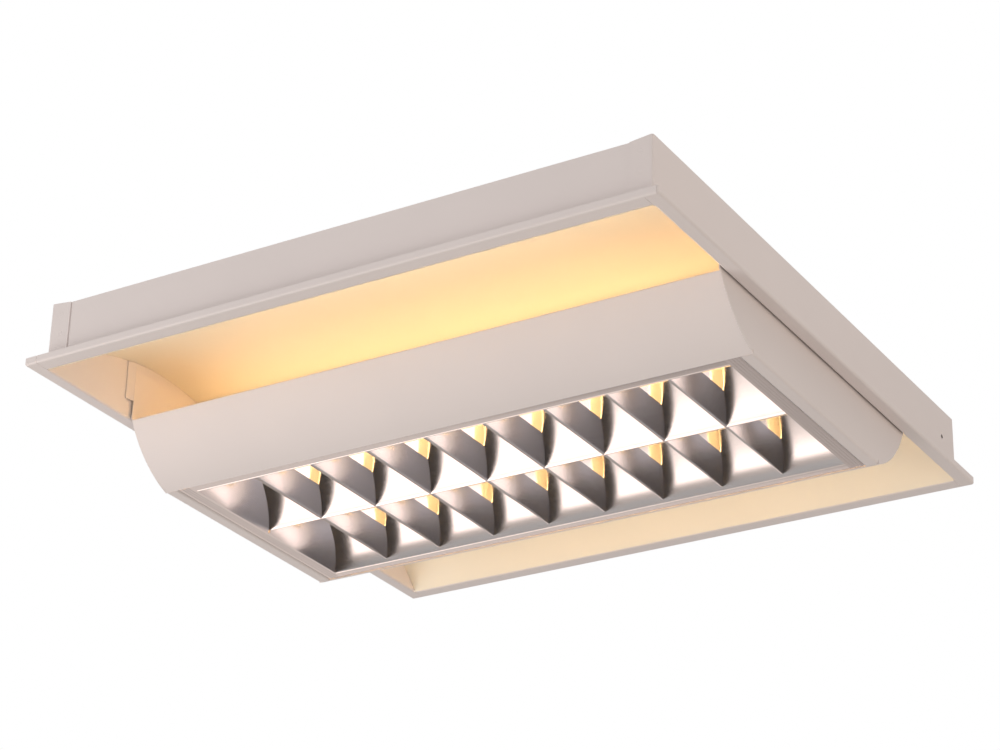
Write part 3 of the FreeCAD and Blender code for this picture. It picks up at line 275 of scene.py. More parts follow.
POWDER_COAT = Finish("warm white powder coat", "painted_steel", srgb(227, 217, 214), 0.42, mottle=0.015,
                     grain_scale=700.0, grain_depth=0.00001)
REFLECTOR_PAINT = Finish("matt white reflector paint", "white_reflector", srgb(243, 233, 214), 0.6,
                         mottle=0.015, grain_scale=900.0, grain_depth=0.00001)
SATIN_ALUMINIUM = Finish("satin anodised aluminium", "satin_aluminium", srgb(246, 243, 243), 0.18, 1.0,
                         mottle=0.02, gloss_change=0.04, grain_scale=160.0, grain_depth=0.000002,
                         stretch=(1.0, 14.0, 14.0))
MILL_ALUMINIUM = Finish("dull back of the aluminium", "satin_aluminium", srgb(246, 243, 238), 0.45, 0.15,
                        mottle=0.02, gloss_change=0.05, grain_scale=300.0, stretch=(1.0, 10.0, 10.0))
ZINC_PLATE = Finish("zinc plate", "zinc_steel", srgb(200, 198, 190), 0.38, 1.0, mottle=0.08, gloss_change=0.1,
                    grain_scale=500.0)
ENAMEL = Finish("white ballast enamel", "ballast_enamel", srgb(232, 232, 230), 0.35, mottle=0.01)
MOULDED_WHITE = Finish("moulded white plastic", "white_plastic", srgb(236, 235, 230), 0.48, mottle=0.02)
RUBBER = Finish("black rubber", "black_rubber", srgb(38, 38, 38), 0.7, mottle=0.15, grain_depth=0.00004)
INSULATION = Finish("grey wire insulation", "wire_insulation", srgb(120, 122, 126), 0.4, mottle=0.03)
FERRITE = Finish("ground ferrite", "ferrite", srgb(62, 60, 60), 0.55, mottle=0.15, gloss_change=0.12)
PHOSPHOR_GLASS = LitGlass("glowing phosphor glass", "lamp_glass", srgb(250, 244, 232), 0.3, mottle=0.01)
CAP_METAL = Finish("satin lamp cap", "lamp_cap_metal", srgb(205, 205, 203), 0.3, 1.0, mottle=0.03)
BRASS = Finish("bright brass", "brass", srgb(214, 178, 104), 0.25, 1.0, mottle=0.05)
FINISHES = (POWDER_COAT, REFLECTOR_PAINT, SATIN_ALUMINIUM, ZINC_PLATE, ENAMEL, MOULDED_WHITE, RUBBER,
            INSULATION, FERRITE, PHOSPHOR_GLASS, CAP_METAL, BRASS)


@dataclass(frozen=True)
class StudioFloor(Finish):
    """Pale floor that metal mirrors as a studio's: white to the left in front, dim to the right and behind.

    Attributes:
        white: Strength of the mirrored white.
        dim_near: Strength of the mirrored dim part in front.
        dim_far: Strength of the mirrored dim part behind.
        dim_edge: Where the one goes over to the other along Y.
        dim_tint: Colour of what is mirrored.
        left_gain: How much stronger the dim part is at its left.
        left_fade: Where that gain fades along X.
        haze: Strength that the dim part gains towards the right.
        haze_tint: Colour of what is mirrored there.
        left_edge: Where the white ends along X.
        front_edge: Where the white ends along Y.
        far_front: Where the white begins along Y.
        haze_edge: Where the haze rises, along X with a share of Y.
        haze_skew: The share of Y.
        haze_end: Where the haze ends along Y.
        far_white: Share of the white that is left far in front.
        paleness: Strength that the floor gains where it is seen.
    """

    white: float = 1.9
    dim_near: float = 0.04
    dim_far: float = 0.37
    dim_edge: Flat = (-1.0, 3.0)
    dim_tint: Colour = (1.0, 0.86, 0.79)
    left_gain: float = 1.8
    left_fade: Flat = (-2.75, -1.85)
    haze: float = 0.46
    haze_tint: Colour = (1.0, 0.94, 0.98)
    left_edge: Flat = (-2.4, 0.2)
    front_edge: Flat = (-1.0, 1.2)
    far_front: Flat = (-9.0, -5.0)
    haze_edge: Flat = (0.2, 0.95)
    haze_skew: float = 1.0
    haze_end: Flat = (-0.6, 0.6)
    far_white: float = 0.2
    paleness: float = 0.32

    def mirrored(self, kit: NodeKit) -> Socket:
        """What glossy surfaces see of the floor.

        Args:
            kit: The tree's node kit.

        Returns:
            A glowing surface.
        """
        place = kit.add("ShaderNodeSeparateXYZ", {0: kit.add("ShaderNodeTexCoord").outputs["Object"]})
        along, across = place.outputs["X"], place.outputs["Y"]
        soft = Curve.SOFT
        left = kit.remap(along, self.left_edge, (1.0, 0.0), soft)
        front = kit.remap(across, self.front_edge, (1.0, 0.0), soft)
        within = kit.remap(across, self.far_front, (self.far_white, 1.0), soft)
        white = kit.number("MULTIPLY", left, kit.number("MULTIPLY", front, within))
        behind = kit.remap(across, self.dim_edge, (self.dim_near, self.dim_far), soft)
        gain = kit.remap(along, self.left_fade, (self.left_gain, 1.0), soft)
        skewed = kit.number("MULTIPLY_ADD", across, self.haze_skew, along)
        rise = kit.remap(skewed, self.haze_edge, (0.0, 1.0), soft)
        ahead = kit.remap(across, self.haze_end, (1.0, 0.0), soft)
        hazy = kit.number("MULTIPLY", rise, ahead)
        grey = kit.number("MULTIPLY_ADD", hazy, self.haze, kit.number("MULTIPLY", behind, gain))
        return kit.add("ShaderNodeEmission", {
            "Color": kit.blend(hazy, self.dim_tint, self.haze_tint),
            "Strength": kit.number("MULTIPLY_ADD", white, self.white, grey)}).outputs[0]

    def surface(self, kit: NodeKit, plain: Socket) -> Socket:
        """Adds what glossy surfaces see of the floor, and lets a view from under it through.

        Args:
            kit: The tree's node kit.
            plain: The plain shader.

        Returns:
            The surface.
        """
        path = kit.add("ShaderNodeLightPath").outputs
        pale = kit.number("MULTIPLY", path["Is Camera Ray"], self.paleness)
        veil = kit.add("ShaderNodeEmission", {"Strength": pale})
        seen = kit.add("ShaderNodeAddShader", {0: plain, 1: veil.outputs[0]})
        above = kit.mix(path["Is Glossy Ray"], seen.outputs[0], self.mirrored(kit))
        below = kit.add("ShaderNodeBsdfTransparent").outputs[0]
        return kit.mix(kit.add("ShaderNodeNewGeometry").outputs["Backfacing"], above, below)


# --- studio
@dataclass(frozen=True)
class Softbox:
    """A soft square lamp that looks at the origin and is seen neither by the camera nor by metal.

    Attributes:
        name: The lamp's name.
        place: Where it stands.
        size: Width of its face in metres.
        power: Power in watts.
        colour: Colour of its light.
    """

    name: str
    place: Triple
    size: float
    power: float
    colour: Colour

    def build(self) -> None:
        """Adds the lamp."""
        data = bpy.data.lights.new(self.name, "AREA")
        data.shape = "SQUARE"
        data.size = self.size
        data.energy = self.power
        data.color = self.colour
        lamp = placed(self.name, data)
        place = Vector(self.place)
        lamp.matrix_world = Matrix.Translation(place) @ place.to_track_quat("Z", "Y").to_matrix().to_4x4()
        lamp.visible_camera = False
        lamp.visible_glossy = False


@dataclass
class Studio:
    """Floor, light and camera.

    Attributes:
        camera_place: The camera's place.
        camera_right: Direction of the picture's right.
        camera_up: Direction of the picture's top.
        lens: Focal length in millimetres on the sensor.
        sensor: Width of the sensor in millimetres.
        clip: How near and how far the camera sees.
        floor_height: The floor, a room's height below the ceiling.
        floor_reach: Half the floor's width.
        sky_strength: Strength of the even light from all round.
        sky_tint: Colour of that light.
        mirrored_sky: Strength at which glossy surfaces mirror it.
        softboxes: The lamps.
    """

    camera_place: Triple = (1.111997, -1.824982, -0.998042)
    camera_right: Triple = (0.85570963, 0.51696913, 0.02244896)
    camera_up: Triple = (0.21046955, -0.38735517, 0.89758484)
    lens: float = 98.787
    sensor: float = 36.0
    clip: Flat = (0.05, 60.0)
    floor_height: float = -2.6
    floor_reach: float = 14.0
    sky_strength: float = 0.48
    sky_tint: Colour = (1.0, 0.98, 0.97)
    mirrored_sky: float = 0.42
    softboxes: tuple[Softbox, ...] = (
        Softbox("key light", (-1.5, -1.6, -0.95), 1.4, 26.0, (1.0, 0.975, 0.955)),
        Softbox("fill light", (3.0, -0.6, -0.9), 2.0, 25.0, (1.0, 0.86, 0.72)),
        Softbox("top light", (0.3, -0.2, 1.3), 1.2, 12.0, (1.0, 0.98, 0.97)))

    def camera(self) -> None:
        """Sets the camera where the picture was taken from."""
        data = bpy.data.cameras.new("camera")
        data.lens = self.lens
        data.sensor_width = self.sensor
        data.clip_start, data.clip_end = self.clip
        right = Vector(self.camera_right)
        back = right.cross(Vector(self.camera_up)).normalized()
        up = back.cross(right).normalized()
        turn = Matrix((right.normalized(), up, back)).transposed().to_4x4()
        camera = placed("camera", data)
        camera.matrix_world = Matrix.Translation(Vector(self.camera_place)) @ turn
        bpy.context.scene.camera = camera

    def sky(self) -> None:
        """Even surround: plain light on the object, white where it is seen, dimmer where it is mirrored."""
        world = bpy.data.worlds.new("studio")
        bpy.context.scene.world = world
        world.use_nodes = True
        kit = NodeKit(world.node_tree)
        path = kit.add("ShaderNodeLightPath").outputs
        seen = kit.number("MAXIMUM", path["Is Camera Ray"], path["Is Transmission Ray"])
        strength = kit.remap(path["Is Glossy Ray"], (0.0, 1.0), (self.sky_strength, self.mirrored_sky))
        light = kit.add("ShaderNodeBackground", {"Color": (*self.sky_tint, 1), "Strength": strength})
        white = kit.add("ShaderNodeBackground", {"Color": (1, 1, 1, 1), "Strength": 1.0})
        kit.add("ShaderNodeOutputWorld", {"Surface": kit.mix(seen, light.outputs[0], white.outputs[0])})

    def floor(self) -> None:
        """Plain pale floor with a faint mottle."""
        reach = self.floor_reach
        corners = [(-reach, -reach), (reach, -reach), (reach, reach), (-reach, reach)]
        mesh = bpy.data.meshes.new("floor")
        mesh.from_pydata([(x, y, self.floor_height) for x, y in corners], [], [(0, 1, 2, 3)])
        finish = StudioFloor("pale floor", "", srgb(238, 238, 236), 0.8, patch_scale=0.6)
        mesh.materials.append(finish.build())
        placed("floor", mesh)

    def build(self) -> None:
        """Sets up the whole studio."""
        self.camera()
        self.sky()
        self.floor()
        for softbox in self.softboxes:
            softbox.build()
        bpy.context.scene.view_settings.view_transform = "Standard"
        LOG.info("studio ready")


# --- mesh helpers
def arc(start: Flat, end: Flat, bow: float, steps: int) -> list[Flat]:
    """Points of an arc whose middle stands off its chord.

    Args:
        start: First point.
        end: Last point.
        bow: How far the middle stands to the left of the way from start to end.
        steps: Number of chords.

    Returns:
        The arc's points, both ends included.
    """
    first, last = Vector(start), Vector(end)
    chord = last - first
    if abs(bow) < 1e-7:
        return [tuple(first.lerp(last, k / steps)) for k in range(steps + 1)]
    radius = (chord.length ** 2 / 4 + bow ** 2) / (2 * bow)
    left = Vector((-chord.y, chord.x)).normalized()
    centre = (first + last) / 2 + left * (bow - radius)
    half = math.asin(max(-1.0, min(1.0, chord.length / 2 / radius)))
    turns = [half - 2 * half * k / steps for k in range(steps + 1)]
    return [tuple(centre + Matrix.Rotation(turn, 2) @ (left * radius)) for turn in turns]


def rounded(points: list[Flat], radius: float, steps: int = 4) -> list[Flat]:
    """Straight runs through the points with each inner corner rounded.

    Args:
        points: Corners of the path.
        radius: Radius of the bends.
        steps: Chords in each bend.

    Returns:
        The path's points.
    """
    path = [points[0]]
    for before, corner, after in zip(points, points[1:], points[2:]):
        here = Vector(corner)
        back = (Vector(before) - here).normalized()
        on = (Vector(after) - here).normalized()
        half = back.angle(on) / 2
        reach = radius / math.tan(half)
        first, last = here + back * reach, here + on * reach
        centre = here + (back + on).normalized() * (radius / math.sin(half))
        for k in range(steps + 1):
            spoke = (first.lerp(last, k / steps) - centre).normalized()
            path.append(tuple(centre + spoke * radius))
    path.append(points[-1])
    return path


def offset(path: list[Flat], distance: float) -> list[Flat]:
    """A path moved to its left by a distance, point by point.

    Args:
        path: The path's points.
        distance: How far to move it; negative moves it to the right.

    Returns:
        As many points as the path has.
    """
    moved = []
    for k, point in enumerate(path):
        before = Vector(path[max(k - 1, 0)])
        after = Vector(path[min(k + 1, len(path) - 1)])
        here = Vector(point)
        ways = [way for way in (here - before, after - here) if way.length > 1e-9]
        sides = [Vector((-way.y, way.x)).normalized() for way in ways]
        middle = sum(sides, Vector((0, 0))).normalized()
        moved.append(tuple(here + middle * (distance / max(0.5, middle.dot(sides[0])))))
    return moved


def finish_mesh(name: str, points: list[Vector], faces: list[tuple[int, ...]], crease: float = 32.0,
                backs: frozenset[int] = frozenset()) -> Mesh:
    """A closed mesh with its faces turned outwards, smooth but for its creases.

    Args:
        name: The mesh's name.
        points: Corners in metres.
        faces: Faces by corner number.
        crease: Angle in degrees from which an edge stays sharp.
        backs: Numbers of the faces that get the mesh's second finish.

    Returns:
        The mesh.
    """
    mesh = bpy.data.meshes.new(name)
    mesh.from_pydata(points, [], faces)
    mesh.polygons.foreach_set("material_index", [int(k in backs) for k in range(len(faces))])
    shape = bmesh.new()
    shape.from_mesh(mesh)
    bmesh.ops.remove_doubles(shape, verts=shape.verts, dist=1e-7)
    bmesh.ops.recalc_face_normals(shape, faces=shape.faces)
    shape.to_mesh(mesh)
    shape.free()
    mesh.shade_smooth()
    mesh.set_sharp_from_angle(angle=math.radians(crease))
    return mesh


def sheet(name: str, front: list[Flat], back: list[Flat], span: Callable[[Flat], Flat],
          place: Callable[[Flat, float], Vector]) -> Mesh:
    """Thin sheet between two like paths, drawn across a span that may change along the path.

    Args:
        name: The mesh's name.
        front: Path of the outer surface.
        back: Path of the inner surface, with as many points.
        span: The two ends of the sheet at a point of a path.
        place: Puts a point of a path, at a distance along the span, into space.

    Returns:
        A closed mesh, whose back faces are marked for its second finish.
    """
    count = len(front)
    points = [place(point, span(point)[end]) for path in (front, back) for end in (0, 1) for point in path]
    first_low, first_high, last_low, last_high = (count * k for k in range(4))
    faces = []
    for k in range(count - 1):
        faces += [(first_low + k, first_low + k + 1, first_high + k + 1, first_high + k),
                  (last_low + k, last_high + k, last_high + k + 1, last_low + k + 1),
                  (first_low + k, last_low + k, last_low + k + 1, first_low + k + 1),
                  (first_high + k, first_high + k + 1, last_high + k + 1, last_high + k)]
    faces += [(first_low + k, first_high + k, last_high + k, last_low + k) for k in (0, count - 1)]
    return finish_mesh(name, points, faces, backs=frozenset(4 * k + 1 for k in range(count - 1)))


def circle(sides: int) -> list[Flat]:
    """Points of a circle of radius 1."""
    turns = [2 * math.pi * k / sides for k in range(sides)]
    return [(math.cos(turn), math.sin(turn)) for turn in turns]


def ringed(name: str, rings: list[list[Vector]], crease: float = 32.0) -> Mesh:
    """A closed skin over rings of like numbers of points, flat across the first and the last.

    Args:
        name: The mesh's name.
        rings: The rings in order.
        crease: Angle in degrees from which an edge stays sharp.

    Returns:
        The mesh.
    """
    sides = len(rings[0])
    points = [point for ring in rings for point in ring]
    last = len(points) - sides
    faces = [(low + k, low + (k + 1) % sides, low + sides + (k + 1) % sides, low + sides + k)
             for low in range(0, last, sides) for k in range(sides)]
    faces += [tuple(range(sides)), tuple(range(last, last + sides))]
    return finish_mesh(name, points, faces, crease)


def lathe(name: str, profile: list[Flat], centre: Vector, way: float, sides: int = 40) -> Mesh:
    """A turned shape round an axis along X.

    Args:
        name: The mesh's name.
        profile: Distance along the axis and radius.
        centre: Where the axis starts.
        way: 1 to run towards +X, -1 towards -X.
        sides: Number of facets round the axis.

    Returns:
        A closed mesh.
    """
    return ringed(name, [[centre + Vector((way * along, radius * y, radius * z)) for y, z in circle(sides)]
                         for along, radius in profile])


def joined(name: str, meshes: list[Mesh]) -> Mesh:
    """Several meshes as one.

    Args:
        name: The new mesh's name.
        meshes: What to join; they are used up.

    Returns:
        The joined mesh.
    """
    shape = bmesh.new()
    for mesh in meshes:
        shape.from_mesh(mesh)
        bpy.data.meshes.remove(mesh)
    whole = bpy.data.meshes.new(name)
    shape.to_mesh(whole)
    shape.free()
    return whole


def stand(name: str, mesh: Mesh, finish: Finish, body: str, *replaced: str) -> bpy.types.Object:
    """Makes a piece of the light from a mesh, puts it on its body and hides the nodes it stands for.

    Args:
        name: The piece's name.
        mesh: Its finished mesh.
        finish: What it is made of. Satin aluminium brings its dull back as the second finish.
        body: The moving body that it belongs to.
        replaced: Nodes of the model that it stands for.

    Returns:
        The piece.
    """
    mesh.materials.clear()
    for coat in (finish, MILL_ALUMINIUM) if finish is SATIN_ALUMINIUM else (finish,):
        mesh.materials.append(coat.build())
    piece = placed(name, mesh)
    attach(piece, body)
    if replaced:
        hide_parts(*replaced)
    LOG.info("built %s", name)
    return piece


# --- patterns by geometry nodes
class Facing(Enum):
    """Which way a stud's head looks."""

    UP = (0.0, 0.0, 1.0)
    DOWN = (0.0, 0.0, -1.0)
    NEAR = (0.0, -1.0, 0.0)
    FAR = (0.0, 1.0, 0.0)


@dataclass(frozen=True)
class Pattern:
    """A geometry node tree that repeats one shape, and the values of its inputs.

    Attributes:
        name: The tree's name.
        values: Input names and their values, the finish among them.
    """

    name: str
    values: dict[str, object]

    def copies(self, kit: NodeKit, inputs: bpy.types.NodeOutputs) -> bpy.types.Node:
        """Adds the nodes that make the copies. Each kind of pattern has its own."""
        raise NotImplementedError

    def tree(self) -> bpy.types.NodeTree:
        """Makes the tree: named inputs, the copies as real geometry, and their finish.

        Returns:
            The node tree.
        """
        tree = bpy.data.node_groups.new(self.name, "GeometryNodeTree")
        kinds = {int: "NodeSocketInt", float: "NodeSocketFloat", bpy.types.Material: "NodeSocketMaterial",
                 bpy.types.Object: "NodeSocketObject"}
        tree.interface.new_socket("Geometry", in_out="INPUT", socket_type="NodeSocketGeometry")
        for name, value in self.values.items():
            tree.interface.new_socket(name, in_out="INPUT", socket_type=kinds[type(value)])
        tree.interface.new_socket("Geometry", in_out="OUTPUT", socket_type="NodeSocketGeometry")
        kit = NodeKit(tree)
        inputs = kit.add("NodeGroupInput").outputs
        instances = self.copies(kit, inputs).outputs["Instances"]
        real = kit.add("GeometryNodeRealizeInstances", {"Geometry": instances})
        dress = kit.add("GeometryNodeSetMaterial", {"Geometry": real.outputs[0],
                                                    "Material": inputs["Finish"]})
        kit.add("NodeGroupOutput", {0: dress.outputs[0]})
        return tree

    def bake(self, base: Mesh) -> Mesh:
        """Runs the tree on a mesh and keeps the result as a plain mesh.

        Args:
            base: What the tree gets as its geometry.

        Returns:
            The resulting mesh.
        """
        host = placed(self.name, base)
        modifier = host.modifiers.new("pattern", "NODES")
        modifier.node_group = self.tree()
        for item in modifier.node_group.interface.items_tree:
            if item.in_out == "INPUT" and item.name in self.values:
                modifier[item.identifier] = self.values[item.name]
        bpy.context.view_layer.update()
        evaluated = host.evaluated_get(bpy.context.evaluated_depsgraph_get())
        mesh = bpy.data.meshes.new_from_object(evaluated)
        host.modifiers.remove(modifier)
        bpy.data.objects.remove(host)
        mesh.name = self.name
        return mesh


@dataclass(frozen=True)
class RowPattern(Pattern):
    """Repeats the base mesh along X, each copy leaning a hair differently."""

    def copies(self, kit: NodeKit, inputs: bpy.types.NodeOutputs) -> bpy.types.Node:
        """A line of points, a copy at each, a small random lean.

        Args:
            kit: The tree's node kit.
            inputs: The tree's inputs.

        Returns:
            The node with the copies.
        """
        line = kit.add("GeometryNodeMeshLine", {
            "Count": inputs["Count"],
            "Start Location": kit.add("ShaderNodeCombineXYZ", {"X": inputs["First"]}).outputs[0],
            "Offset": kit.add("ShaderNodeCombineXYZ", {"X": inputs["Pitch"]}).outputs[0]},
            mode="OFFSET", count_mode="TOTAL")
        lowest = kit.number("MULTIPLY", inputs["Lean"], -1.0)
        lean = kit.add("FunctionNodeRandomValue", {"Seed": LEAN_SEED, 2: lowest, 3: inputs["Lean"]},
                       data_type="FLOAT")
        turn = kit.add("ShaderNodeCombineXYZ", {"Y": lean.outputs[1]})
        return kit.add("GeometryNodeInstanceOnPoints", {
            "Points": line.outputs["Mesh"], "Instance": inputs["Geometry"], "Rotation": turn.outputs[0]})


@dataclass(frozen=True)
class StudPattern(Pattern):
    """Puts a copy of one stud at each point of the base mesh, its head along the point's facing."""

    def copies(self, kit: NodeKit, inputs: bpy.types.NodeOutputs) -> bpy.types.Node:
        """The stud at each point, turned to the facing stored there.

        Args:
            kit: The tree's node kit.
            inputs: The tree's inputs.

        Returns:
            The node with the copies.
        """
        stud = kit.add("GeometryNodeObjectInfo", {"Object": inputs["Stud"]}, transform_space="ORIGINAL")
        facing = kit.add("GeometryNodeInputNamedAttribute", {"Name": "facing"}, data_type="FLOAT_VECTOR")
        turn = kit.add("FunctionNodeAlignRotationToVector", {"Vector": facing.outputs["Attribute"]}, axis="Z")
        return kit.add("GeometryNodeInstanceOnPoints", {
            "Points": inputs["Geometry"], "Instance": stud.outputs["Geometry"], "Rotation": turn.outputs[0]})


def stand_studs(name: str, stud: Mesh, sites: list[tuple[Vector, Facing]], finish: Finish,
                *nodes: str) -> None:
    """Stands up one piece of like studs on the fixed body.

    Args:
        name: The piece's name.
        stud: One stud, its seat at the origin and its head along +Z.
        sites: Each stud's seat and facing.
        finish: What the studs are made of.
        nodes: Nodes of the model that they stand for.
    """
    points = bpy.data.meshes.new(name + " sites")
    points.from_pydata([seat for seat, _ in sites], [], [])
    facing = points.attributes.new("facing", "FLOAT_VECTOR", "POINT")
    for k, (_, way) in enumerate(sites):
        facing.data[k].vector = way.value
    template = placed(name + " template", stud)
    mesh = StudPattern(name, {"Stud": template, "Finish": finish.build()}).bake(points)
    bpy.data.objects.remove(template)
    stand(name, mesh, finish, "root", *nodes)


# --- louvre
@dataclass
class Louvre:
    """Mirror louvre: two long reflectors, a divider, two ends and sixteen half blades.

    Attributes:
        cells: Cells in each row.
        thickness: Thickness of the aluminium.
        lip: Height of the upturned outer lips.
        rail_lip: How much higher they are on the long reflectors.
        rail: Width of a long reflector's rail.
        rail_bend: How far from the foot the rail's fold ends.
        strip_bend: How far from its lip an end strip's fold ends.
        nose: Half width of the folded noses.
        top: Height at which the faces end.
        divider_half: Half width of the divider at its top.
        divider_bow: Hollow of the divider's faces.
        reflector_bow: Hollow of the long reflectors' faces.
        blade_bow: Hollow of the blades' faces.
        blade_drop: How far a blade stays under its solid's top.
        end_bow: Hollow of the end faces.
        end_slope: How far the end faces lean in.
        bend: Inner radius of the folds.
        lean: Largest lean of a blade, in radians.
        clearance: Play between a blade's end and the face it meets.
        groove: Depth of the lines rolled into the rails and end strips.
        groove_half: Half width of those lines.
        groove_inset: Distance of a rail's line from the foot.
        strip_grooves: Places of an end strip's lines, as shares of its width.
        notch: How much shorter the left strip is at its near end.
        face_chords: Chords in the faces of divider and long reflectors.
        blade_chords: Chords in the faces of blades and ends.
        nose_chords: Chords round a nose.
    """

    cells: int = 9
    thickness: float = 0.5 * MM
    lip: float = 6.0 * MM
    rail_lip: float = 1.5 * MM
    rail: float = 11.4 * MM
    rail_bend: float = 2.0 * MM
    strip_bend: float = 2.5 * MM
    nose: float = 0.6 * MM
    top: float = -5.0 * MM
    divider_half: float = 28.0 * MM
    divider_bow: float = 2.4 * MM
    reflector_bow: float = 4.5 * MM
    blade_bow: float = 0.5 * MM
    blade_drop: float = 0.3 * MM
    end_bow: float = 0.9 * MM
    end_slope: float = 8.0 * MM
    bend: float = 0.5 * MM
    lean: float = 0.002
    clearance: float = 0.2 * MM
    groove: float = 0.45 * MM
    groove_half: float = 0.5 * MM
    groove_inset: float = 1.5 * MM
    strip_grooves: Triple = (0.3, 0.52, 0.74)
    notch: float = 1.6 * MM
    face_chords: int = 24
    blade_chords: int = 14
    nose_chords: int = 6

    def __post_init__(self) -> None:
        """Reads the louvre's places from the model."""
        divider_low, divider_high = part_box("central_divider")
        reflector_low, reflector_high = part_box("side_reflector_far")
        blade_low, blade_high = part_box("cross_blade_1")
        self.cells_half = divider_high.x
        self.pitch = 2 * self.cells_half / self.cells
        self.half_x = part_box("louvre_end_right")[1].x
        self.half_y = reflector_high.y
        self.foot_z = reflector_low.z
        self.edge_z = divider_low.z + self.nose / 2
        self.foot_y = self.half_y - self.rail
        self.blade_top = blade_high.z - self.blade_drop
        self.blade_half = (blade_high.x - blade_low.x) / 2

    def divider_face(self) -> list[Flat]:
        """Far face of the divider, from nose to top."""
        return arc((self.nose, self.edge_z), (self.divider_half, self.top), self.divider_bow,
                   self.face_chords)

    def reflector_face(self) -> list[Flat]:
        """Face of the far reflector, from foot to top."""
        return arc((self.foot_y, self.foot_z), (self.foot_y - self.divider_half, self.top),
                   -self.reflector_bow, self.face_chords)

    def row_span(self, point: Flat) -> Flat:
        """Where a sheet across the far row starts and ends, at a point's height."""
        return (self.face_at(self.divider_face(), point[1]) + self.clearance,
                self.face_at(self.reflector_face(), point[1]) - self.clearance)

    @staticmethod
    def face_at(face: list[Flat], height: float) -> float:
        """Where a face stands at a height.

        Args:
            face: The face's points, from low to high.
            height: The height.

        Returns:
            The face's distance from the middle.
        """
        for (low_y, low_z), (high_y, high_z) in zip(face, face[1:]):
            if height <= high_z:
                share = max(0.0, (height - low_z) / (high_z - low_z))
                return low_y + (high_y - low_y) * share
        return face[-1][0]

    def folded(self, right: list[Flat]) -> tuple[list[Flat], list[Flat]]:
        """Section of a V with a round nose, by its right face from nose to top.

        Args:
            right: The right face's points.

        Returns:
            Its outer and inner path.
        """
        left = [(-across, z) for across, z in reversed(right)]
        front = left + arc(left[-1], right[0], -self.nose / 2, self.nose_chords)[1:-1] + right
        return front, offset(front, self.thickness)

    def both_rows(self, name: str, front: list[Flat], back: list[Flat], way: int = 1) -> Mesh:
        """One mesh of a sheet across the far row and across the near row, by its section in X and Z."""
        return joined(name, [sheet(name, front, back, self.row_span,
                                   lambda point, y, side=side: Vector((way * point[0], side * y, point[1])))
                             for side in (1, -1)])

    def lengthwise(self, name: str, node: str, section: tuple[list[Flat], list[Flat]], side: int = 1) -> None:
        """Stands up a piece that runs along all cells, by its section in Y and Z."""
        mesh = sheet(name, *section, lambda point: (-self.cells_half, self.cells_half),
                     lambda point, x: Vector((x, side * point[0], point[1])))
        stand(name, mesh, SATIN_ALUMINIUM, "louvre", node)

    def blades(self) -> None:
        """The eight cross blades, each a hollow-faced V with a folded nose."""
        right = arc((self.nose, self.edge_z), (self.blade_half, self.blade_top), -self.blade_bow,
                    self.blade_chords)
        blade = self.both_rows("louvre_blades", *self.folded(right))
        marks = blade.attributes.new("back", "INT", "FACE").data
        marks.foreach_set("value", [face.material_index for face in blade.polygons])
        row = RowPattern("louvre_blades", {
            "Count": self.cells - 1, "First": -(self.cells / 2 - 1) * self.pitch, "Pitch": self.pitch,
            "Lean": self.lean, "Finish": SATIN_ALUMINIUM.build()}).bake(blade)
        backs = [int(mark.value) for mark in row.attributes["back"].data]
        nodes = ["cross_blade_%d" % k for k in range(1, self.cells)]
        piece = stand("louvre_blades", row, SATIN_ALUMINIUM, "louvre", *nodes)
        piece.data.polygons.foreach_set("material_index", backs)

    def long_reflector(self, node: str, side: int) -> None:
        """Long reflector with its flat rail, a rolled line along the rail and an outer lip.

        Args:
            node: The node that it stands for.
            side: 1 for the far one, -1 for the near one.
        """
        bends = rounded([(self.half_y, self.foot_z + self.lip + self.rail_lip), (self.half_y, self.foot_z),
                         (self.foot_y + self.rail_bend, self.foot_z)], self.bend)
        middle = self.foot_y + self.groove_inset
        front, plain = (bends + [(middle, self.foot_z + depth), (middle - self.groove_half, self.foot_z)]
                        + self.reflector_face() for depth in (self.groove, 0.0))
        self.lengthwise("long_" + node, node, (front, offset(plain, -self.thickness)), side)

    def strip_section(self) -> tuple[list[Flat], list[Flat]]:
        """Section of an end strip: outer lip, fold, and a flat with three rolled lines.

        Returns:
            Its outer and inner path.
        """
        front = rounded([(self.half_x, self.foot_z + self.lip), (self.half_x, self.foot_z),
                         (self.half_x - self.strip_bend, self.foot_z)], self.bend)
        plain = list(front)
        for share in self.strip_grooves:
            middle = self.half_x - (self.half_x - self.cells_half) * share
            for shift, depth in ((self.groove_half, 0.0), (0.0, self.groove), (-self.groove_half, 0.0)):
                front.append((middle + shift, self.foot_z + depth))
                plain.append((middle + shift, self.foot_z))
        inner = [(self.cells_half, self.foot_z)]
        return front + inner, offset(plain + inner, -self.thickness)

    def end(self, node: str, way: int) -> None:
        """End of the louvre: the flat strip with its rolled lines, and a hollow end face in each row.

        Args:
            node: The node that it stands for.
            way: 1 for the right end, -1 for the left one.
        """
        near = -self.half_y + (self.notch if way < 0 else 0.0)
        strip = sheet(node, *self.strip_section(), lambda point: (near, self.half_y),
                      lambda point, y: Vector((way * point[0], y, point[1])))
        face = arc((self.cells_half, self.foot_z), (self.cells_half - self.end_slope, self.top), self.end_bow,
                   self.blade_chords)
        mesh = joined(node, [strip, self.both_rows(node, face, offset(face, -self.thickness), way)])
        stand(node.replace("louvre_end", "end_strip"), mesh, SATIN_ALUMINIUM, "louvre", node)

    def build(self) -> None:
        """Makes every piece of the louvre."""
        self.blades()
        self.lengthwise("divider", "central_divider", self.folded(self.divider_face()))
        for side, node in ((1, "side_reflector_far"), (-1, "side_reflector_near")):
            self.long_reflector(node, side)
        for way, node in ((1, "louvre_end_right"), (-1, "louvre_end_left")):
            self.end(node, way)


